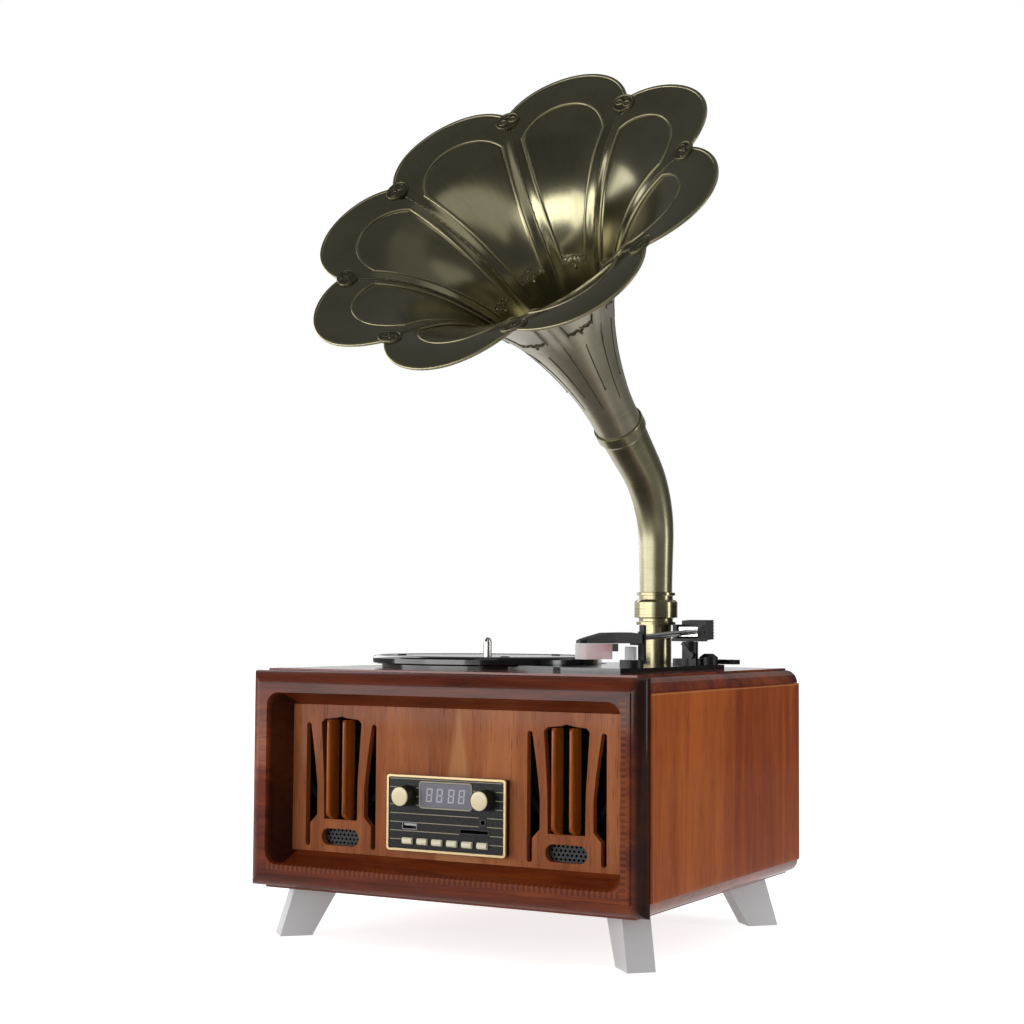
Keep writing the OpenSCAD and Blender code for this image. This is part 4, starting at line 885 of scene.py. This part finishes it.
# %% [markdown]
# The neck is one smooth turned sheet from the bell down into the elbow. The elbow is a
# tapered tube that runs straight, bends and runs straight again, with a wider lip in
# which the neck sits.

# %% Neck and elbow
SOCKET_R = THROAT_R + 2.0
ELBOW_R0, ELBOW_R1 = 14.4, SOCKET_R - 0.6
ELBOW_WALL, LIP_LEN, NECK_IN = 1.5, 12.0, 9.6
ARC_LEN = BEND_R * BEND_A
PATH_LEN = BEND_RISE + ARC_LEN + BEND_RUN
LIP_START = PATH_LEN - LIP_LEN


def neck_parts(rows=46, cols=144):
    """The neck's inner and outer skins turned round the horn's axis."""
    share = np.linspace(0, 1, rows)
    low, high = THROAT_R + 0.25, NECK_END_R + 0.4
    radius = low + (high - low) * share ** 1.7
    out, up = flare_inward(radius)
    height = flare_w(radius)
    wall = 1.4 - 0.4 * share
    inner = np.stack([radius, height], -1)
    outer = np.stack([radius - wall * out, height - wall * up], -1)
    inner = np.concatenate([[[inner[0, 0], -NECK_IN]], inner])
    outer = np.concatenate([[[outer[0, 0], -NECK_IN]], outer])
    turn = np.arange(cols) * 2 * np.pi / cols
    skins = [np.stack([p[:, :1] * np.cos(turn), p[:, :1] * np.sin(turn),
                       np.broadcast_to(p[:, 1:], (len(p), cols))], -1) for p in (outer, inner)]
    return ring_shell(*skins, outer[:, 1])


def elbow_radius(length):
    """Outer radius along the elbow: a slow taper, then the wider lip."""
    share = np.clip(length / LIP_START, 0, 1)
    lip = step((length - LIP_START) / 2.5)
    return ELBOW_R0 + (ELBOW_R1 - ELBOW_R0) * share ** 1.3 + lip * (SOCKET_R + ELBOW_WALL - 0.1 - ELBOW_R1)


def elbow_skin(length, far, cols=96):
    """Circles of radius far carried along the elbow's path, in box-axes millimetres."""
    turn = np.arange(cols)[None, :] * 2 * np.pi / cols
    length = length[:, None]
    far = far[:, None]
    bend = np.clip(length - BEND_RISE, 0, ARC_LEN) / BEND_R
    low = np.minimum(length, BEND_RISE)
    high = np.maximum(length - BEND_RISE - ARC_LEN, 0)
    x = far * np.cos(turn)
    y = -BEND_R * (1 - np.cos(bend)) - high * np.sin(bend) + far * np.sin(turn) * np.cos(bend)
    z = BEND_Z + low + BEND_R * np.sin(bend) + high * np.cos(bend) + far * np.sin(turn) * np.sin(bend)
    return np.stack([HORN_X + x * math.cos(HORN_TURN) + y * math.sin(HORN_TURN),
                     HORN_Y - x * math.sin(HORN_TURN) + y * math.cos(HORN_TURN), z + 0 * turn], -1)


def elbow_parts():
    """The elbow as a closed tube with a rounded end at its lip."""
    body = np.linspace(0, LIP_START, 90)[:-1]
    lip = np.linspace(LIP_START, PATH_LEN - 0.6, 16)
    length = np.concatenate([body, lip, [PATH_LEN - 0.15, PATH_LEN]])
    far = elbow_radius(length)
    far[-2:] -= (0.15, 0.5)
    hollow = np.where(length > LIP_START + 1, SOCKET_R + 0.1, far - ELBOW_WALL)
    return ring_shell(elbow_skin(length, far), elbow_skin(length, hollow), length)


neck = make("bell_neck", [neck_parts()], BRASS, "horn", 45, horn_to_row)
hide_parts("horn_neck")
elbow = make("bell_elbow", [elbow_parts()], ELBOW_BRASS, "horn", 45)
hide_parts("horn_elbow")

# %% [markdown]
# ## Radio front
# Thin pale stripes cross the black face 6.8 mm apart, the display has a slim frame and
# shows four unlit seven-segment figures.

# %% Radio front
RADIO_Z, RADIO_HALF_W, RADIO_HALF_H = 107.3, 54.0, 29.75
FACE_Y = 18.4
STRIPE_PITCH, STRIPE_FIRST, STRIPES, STRIPE_HALF = 6.8, 3.0, 8, 0.32
DISPLAY_Z, DISPLAY_HALF_W, DISPLAY_HALF_H = 122.2, 22.7, 9.3
DIGITS, DIGIT_FIRST, DIGIT_PITCH, COLON_GAP, SLANT = 4, -14.6, 9.4, 1.2, 0.09
# places that the stripes leave free: left, right, low and high edge
DISPLAY_GAP = (-24.4, 24.4, 111.5, 133.0)
USB_GAP = (-40.1, -25.5, 93.4, 101.4)
CARD_GAP = (12.4, 40.0, 92.6, 98.8)
JACK_GAP = (30.2, 37.6, 99.4, 107.2)
BUTTON_GAP = (-39.2, 39.2, 82.2, 89.0)
KNOB_GAPS = ((-45.0, -27.0, 113.0, 129.0), (27.0, 45.0, 113.0, 129.0))
GAPS = (DISPLAY_GAP, USB_GAP, CARD_GAP, JACK_GAP, BUTTON_GAP, *KNOB_GAPS)


def bar(x0, x1, z0, z1, front, back):
    """A flat bar with slightly rounded long edges: a six-sided section carried along X."""
    dz = min(0.12, (z1 - z0) / 4)
    section = [(back, z0), (front + dz, z0), (front, z0 + dz), (front, z1 - dz), (front + dz, z1), (back, z1)]
    points = np.array([(x, y, z) for x in (x0, x1) for y, z in section], float)
    n = len(section)
    faces = [[k, (k + 1) % n, n + (k + 1) % n, n + k] for k in range(n)]
    faces += [list(range(n))[::-1], list(range(n, 2 * n))]
    return points, faces


def stripe_parts():
    """Stripes across the face, with gaps at the display, sockets and buttons."""
    edge = RADIO_HALF_W - 2.6
    parts = []
    for k in range(STRIPES):
        z = RADIO_Z + RADIO_HALF_H - STRIPE_FIRST - STRIPE_PITCH * k
        spans = [(-edge, edge)]
        for low_x, high_x, low_z, high_z in GAPS:
            if low_z < z < high_z:
                cut_up = []
                for a, b in spans:
                    cut_up += [(a, min(b, low_x)), (max(a, high_x), b)]
                spans = [(a, b) for a, b in cut_up if b - a > 0.5]
        low, high = z - STRIPE_HALF, z + STRIPE_HALF
        parts += [bar(a, b, low, high, FACE_Y - 0.12, FACE_Y + 0.2) for a, b in spans]
    return parts


def rounded_loop(half_w, half_h, corner, count=8):
    """Points of a rounded rectangle in X and Z, and the outward direction at each."""
    points, outs = [], []
    for quarter, (sx, sz) in enumerate(((1, 1), (-1, 1), (-1, -1), (1, -1))):
        for k in range(count + 1):
            a = math.pi / 2 * (quarter + k / count)
            across, up = math.cos(a), math.sin(a)
            points.append((sx * (half_w - corner) + corner * across, sz * (half_h - corner) + corner * up))
            outs.append((across, up))
    return np.array(points), np.array(outs)


def display_frame():
    """Slim rounded frame round the display: a small raised section carried round a loop."""
    width = 1.25
    loop, outs = rounded_loop(DISPLAY_HALF_W + 0.2, DISPLAY_HALF_H + 0.2, 1.6)
    section = [(0.0, FACE_Y + 0.2), (0.0, FACE_Y - 0.5), (0.3, FACE_Y - 0.8), (width - 0.3, FACE_Y - 0.8),
               (width, FACE_Y - 0.5), (width, FACE_Y + 0.2)]
    rows = []
    for out, y in section:
        ring = loop + out * outs
        rows.append(np.stack([ring[:, 0], np.full(len(ring), y), ring[:, 1] + DISPLAY_Z], -1))
    grid = np.stack([*rows, rows[0]])
    return grid.reshape(-1, 3), [list(q) for q in grid_faces(len(grid), len(loop), close=True)]


def figure_parts():
    """Four unlit seven-segment figures as thin plates on the window, slanted a little."""
    parts = []
    half_tall, half_wide, thick, gap = 5.5, 2.8, 1.25, 0.25
    level = (-half_wide + thick, half_wide - thick)
    left, right = (-half_wide, -half_wide + thick), (half_wide - thick, half_wide)
    upper, lower = (gap, half_tall - gap), (-half_tall + gap, -gap)
    segments = [(level, (half_tall - thick, half_tall)), (level, (-thick / 2, thick / 2)),
                (level, (-half_tall, -half_tall + thick)), (left, upper), (right, upper), (left, lower),
                (right, lower)]
    for digit in range(DIGITS):
        middle = DIGIT_FIRST + digit * DIGIT_PITCH + (COLON_GAP if digit > 1 else 0.0)
        for across, up in segments:
            points, faces = bar(*across, *up, FACE_Y - 0.56, FACE_Y - 0.46)
            points[:, 0] += middle + SLANT * points[:, 2]
            points[:, 2] += DISPLAY_Z
            parts.append((points, faces))
    return parts


STRIPE = plain("printed_gold_stripe", "a39a80", 0.4)
DISPLAY_TRIM = plain("display_trim_paint", "a8a28c", 0.35, 0.3)
FIGURES = plain("unlit_display_figures", "b5b2bf", 0.5)
make("radio_stripes", stripe_parts(), STRIPE, "cabinet")
make("display_frame", [display_frame()], DISPLAY_TRIM, "cabinet")
make("display_figures", figure_parts(), FIGURES, "cabinet")

# %% [markdown]
# ## Light and floor
# A white floor and a white surround, with two soft lights on the left and a narrow one
# on the right. The left lights don't show in mirrored rays. Cards that show only there
# stand round the object, as in a studio: dark ones as the room, bright ones as the
# lamps' panels. Lacquer and brass so have dark parts between their highlights.

# %% Stage
def stage_plane(name, corners, material):
    """A flat four-cornered card or floor that belongs to the stage."""
    mesh = bpy.data.meshes.new(name)
    mesh.from_pydata(corners, [], [(0, 1, 2, 3)])
    mesh.materials.append(material)
    card = add_object(name, mesh)
    return card


def reflection_card(name, corners, level):
    """A card of an even level of grey that shows only in glossy reflections."""
    mat = bpy.data.materials.new(name)
    mat.use_nodes = True
    tree = mat.node_tree
    tree.nodes.clear()
    glow = tree.nodes.new("ShaderNodeEmission")
    glow.inputs["Strength"].default_value = level
    end = tree.nodes.new("ShaderNodeOutputMaterial")
    tree.links.new(glow.outputs[0], end.inputs["Surface"])
    card = stage_plane(name, corners, mat)
    card.visible_camera = False
    card.visible_diffuse = False
    card.visible_transmission = False
    card.visible_shadow = False


def upright(x0, y0, x1, y1, low, high):
    """Corners of an upright card between two places on the floor."""
    return [(x0, y0, low), (x1, y1, low), (x1, y1, high), (x0, y0, high)]


def flat(x0, y0, x1, y1, z):
    """Corners of a card that lies level."""
    return [(x0, y0, z), (x1, y0, z), (x1, y1, z), (x0, y1, z)]


def seen_straight_on(tree):
    """One for rays from the camera and for those mirrored or let through, zero for soft light."""
    path = tree.nodes.new("ShaderNodeLightPath")
    seen = maths(tree, "MAXIMUM", path.outputs["Is Camera Ray"], path.outputs["Is Glossy Ray"])
    return maths(tree, "MAXIMUM", seen, path.outputs["Is Transmission Ray"])


def make_world(soft):
    """White where it is seen, a softer level where it lights."""
    world = bpy.data.worlds.new("studio")
    bpy.context.scene.world = world
    world.use_nodes = True
    tree = world.node_tree
    back = tree.nodes["Background"]
    back.inputs["Color"].default_value = (1, 1, 1, 1)
    tree.links.new(spread(tree, seen_straight_on(tree), 0.0, 1.0, soft, 1.0), back.inputs["Strength"])


def make_light(name, place, aim, width, height, power, mirrored=False):
    """A rectangular soft light that points at a place; cards stand for it in mirrored rays unless told."""
    data = bpy.data.lights.new(name, "AREA")
    data.shape = "RECTANGLE"
    data.size = width
    data.size_y = height
    data.energy = power
    light = add_object(name, data)
    light.location = place
    light.rotation_euler = (Vector(aim) - Vector(place)).to_track_quat("-Z", "Y").to_euler()
    light.visible_glossy = mirrored


FLOOR_SIZE = 9.0
FLOOR_SEEN, FLOOR_MIRRORED = 0.75, 0.45
LEFT, FRONT, RIGHT, BACK, CEILING = -2.2, -2.2, 2.4, 2.4, 2.4
OFF_FLOOR = 0.004
# a dark room with a paler part of its ceiling and its floor in three parts, then the bright panels
CARDS = (
    ("card_ceiling", flat(-3, -3, 3, 3, CEILING), 0.13),
    ("card_front", upright(LEFT, FRONT, RIGHT, FRONT, 0.0, CEILING), 0.1),
    ("card_left", upright(LEFT, FRONT, LEFT, BACK, 0.0, CEILING), 0.14),
    ("card_back_right", upright(0.3, 2.0, 2.6, 1.0, 0.0, 1.3), 0.05),
    ("card_back_left", upright(LEFT, BACK, 0.3, BACK, 0.45, CEILING), 0.2),
    ("card_back_low", upright(LEFT, BACK, 0.3, BACK, 0.0, 0.45), 0.8),
    ("card_right", upright(RIGHT, FRONT, RIGHT, 1.2, 0.0, CEILING), 0.12),
    ("card_ceiling_right", flat(0.9, -0.1, 2.2, 1.6, CEILING - 0.05), 0.5),
    ("card_ceiling_far", flat(0.1, -0.6, 0.9, 1.6, CEILING - 0.04), 0.24),
    ("card_near_floor", flat(LEFT, -0.9, RIGHT, -0.2, OFF_FLOOR), 0.5),
    ("card_far_floor", flat(LEFT, FRONT, RIGHT, -0.9, OFF_FLOOR), 0.12),
    ("card_side_floor", flat(0.3, -0.2, RIGHT, 2.0, OFF_FLOOR), 0.2),
    ("glow_low_left", upright(-1.44, -0.36, -0.93, -1.25, 0.04, 0.52), 3.6),
    ("glow_low_front", upright(-0.93, -1.25, 0.16, -1.59, 0.1, 0.44), 5.0),
    ("glow_low_right", upright(0.16, -1.59, 0.55, -1.45, 0.14, 0.66), 1.5),
    ("glow_left", upright(-0.95, 1.05, -1.44, -0.36, 0.3, 1.2), 2.4),
    ("glow_right", upright(0.28, -1.27, 0.84, -0.99, 0.6, 2.3), 0.75),
)
floor_mat, floor_tree, floor_shader = new_material("white_floor", "f4f4f4", 0.9)
floor_shader.inputs["Emission Color"].default_value = (1, 1, 1, 1)
floor_path = floor_tree.nodes.new("ShaderNodeLightPath")
floor_glow = maths(floor_tree, "MAXIMUM",
                   times(floor_tree, floor_path.outputs["Is Camera Ray"], FLOOR_SEEN),
                   times(floor_tree, seen_straight_on(floor_tree), FLOOR_MIRRORED))
floor_tree.links.new(floor_glow, floor_shader.inputs["Emission Strength"])
stage_plane("floor", flat(-FLOOR_SIZE, -FLOOR_SIZE, FLOOR_SIZE, FLOOR_SIZE, 0), floor_mat)
for name, corners, level in CARDS:
    reflection_card(name, corners, level)
make_world(0.55)
make_light("key_left", (-1.15, -1.35, 0.33), (0, 0, 0.3), 1.15, 0.62, 9.5)
make_light("far_left", (-1.9, 0.35, 0.85), (0, 0, 0.4), 0.8, 1.1, 3.0)
make_light("fill_right", (1.75, 0.4, 0.5), (0, 0, 0.35), 0.3, 0.9, 4.5, True)
print("stage ready")
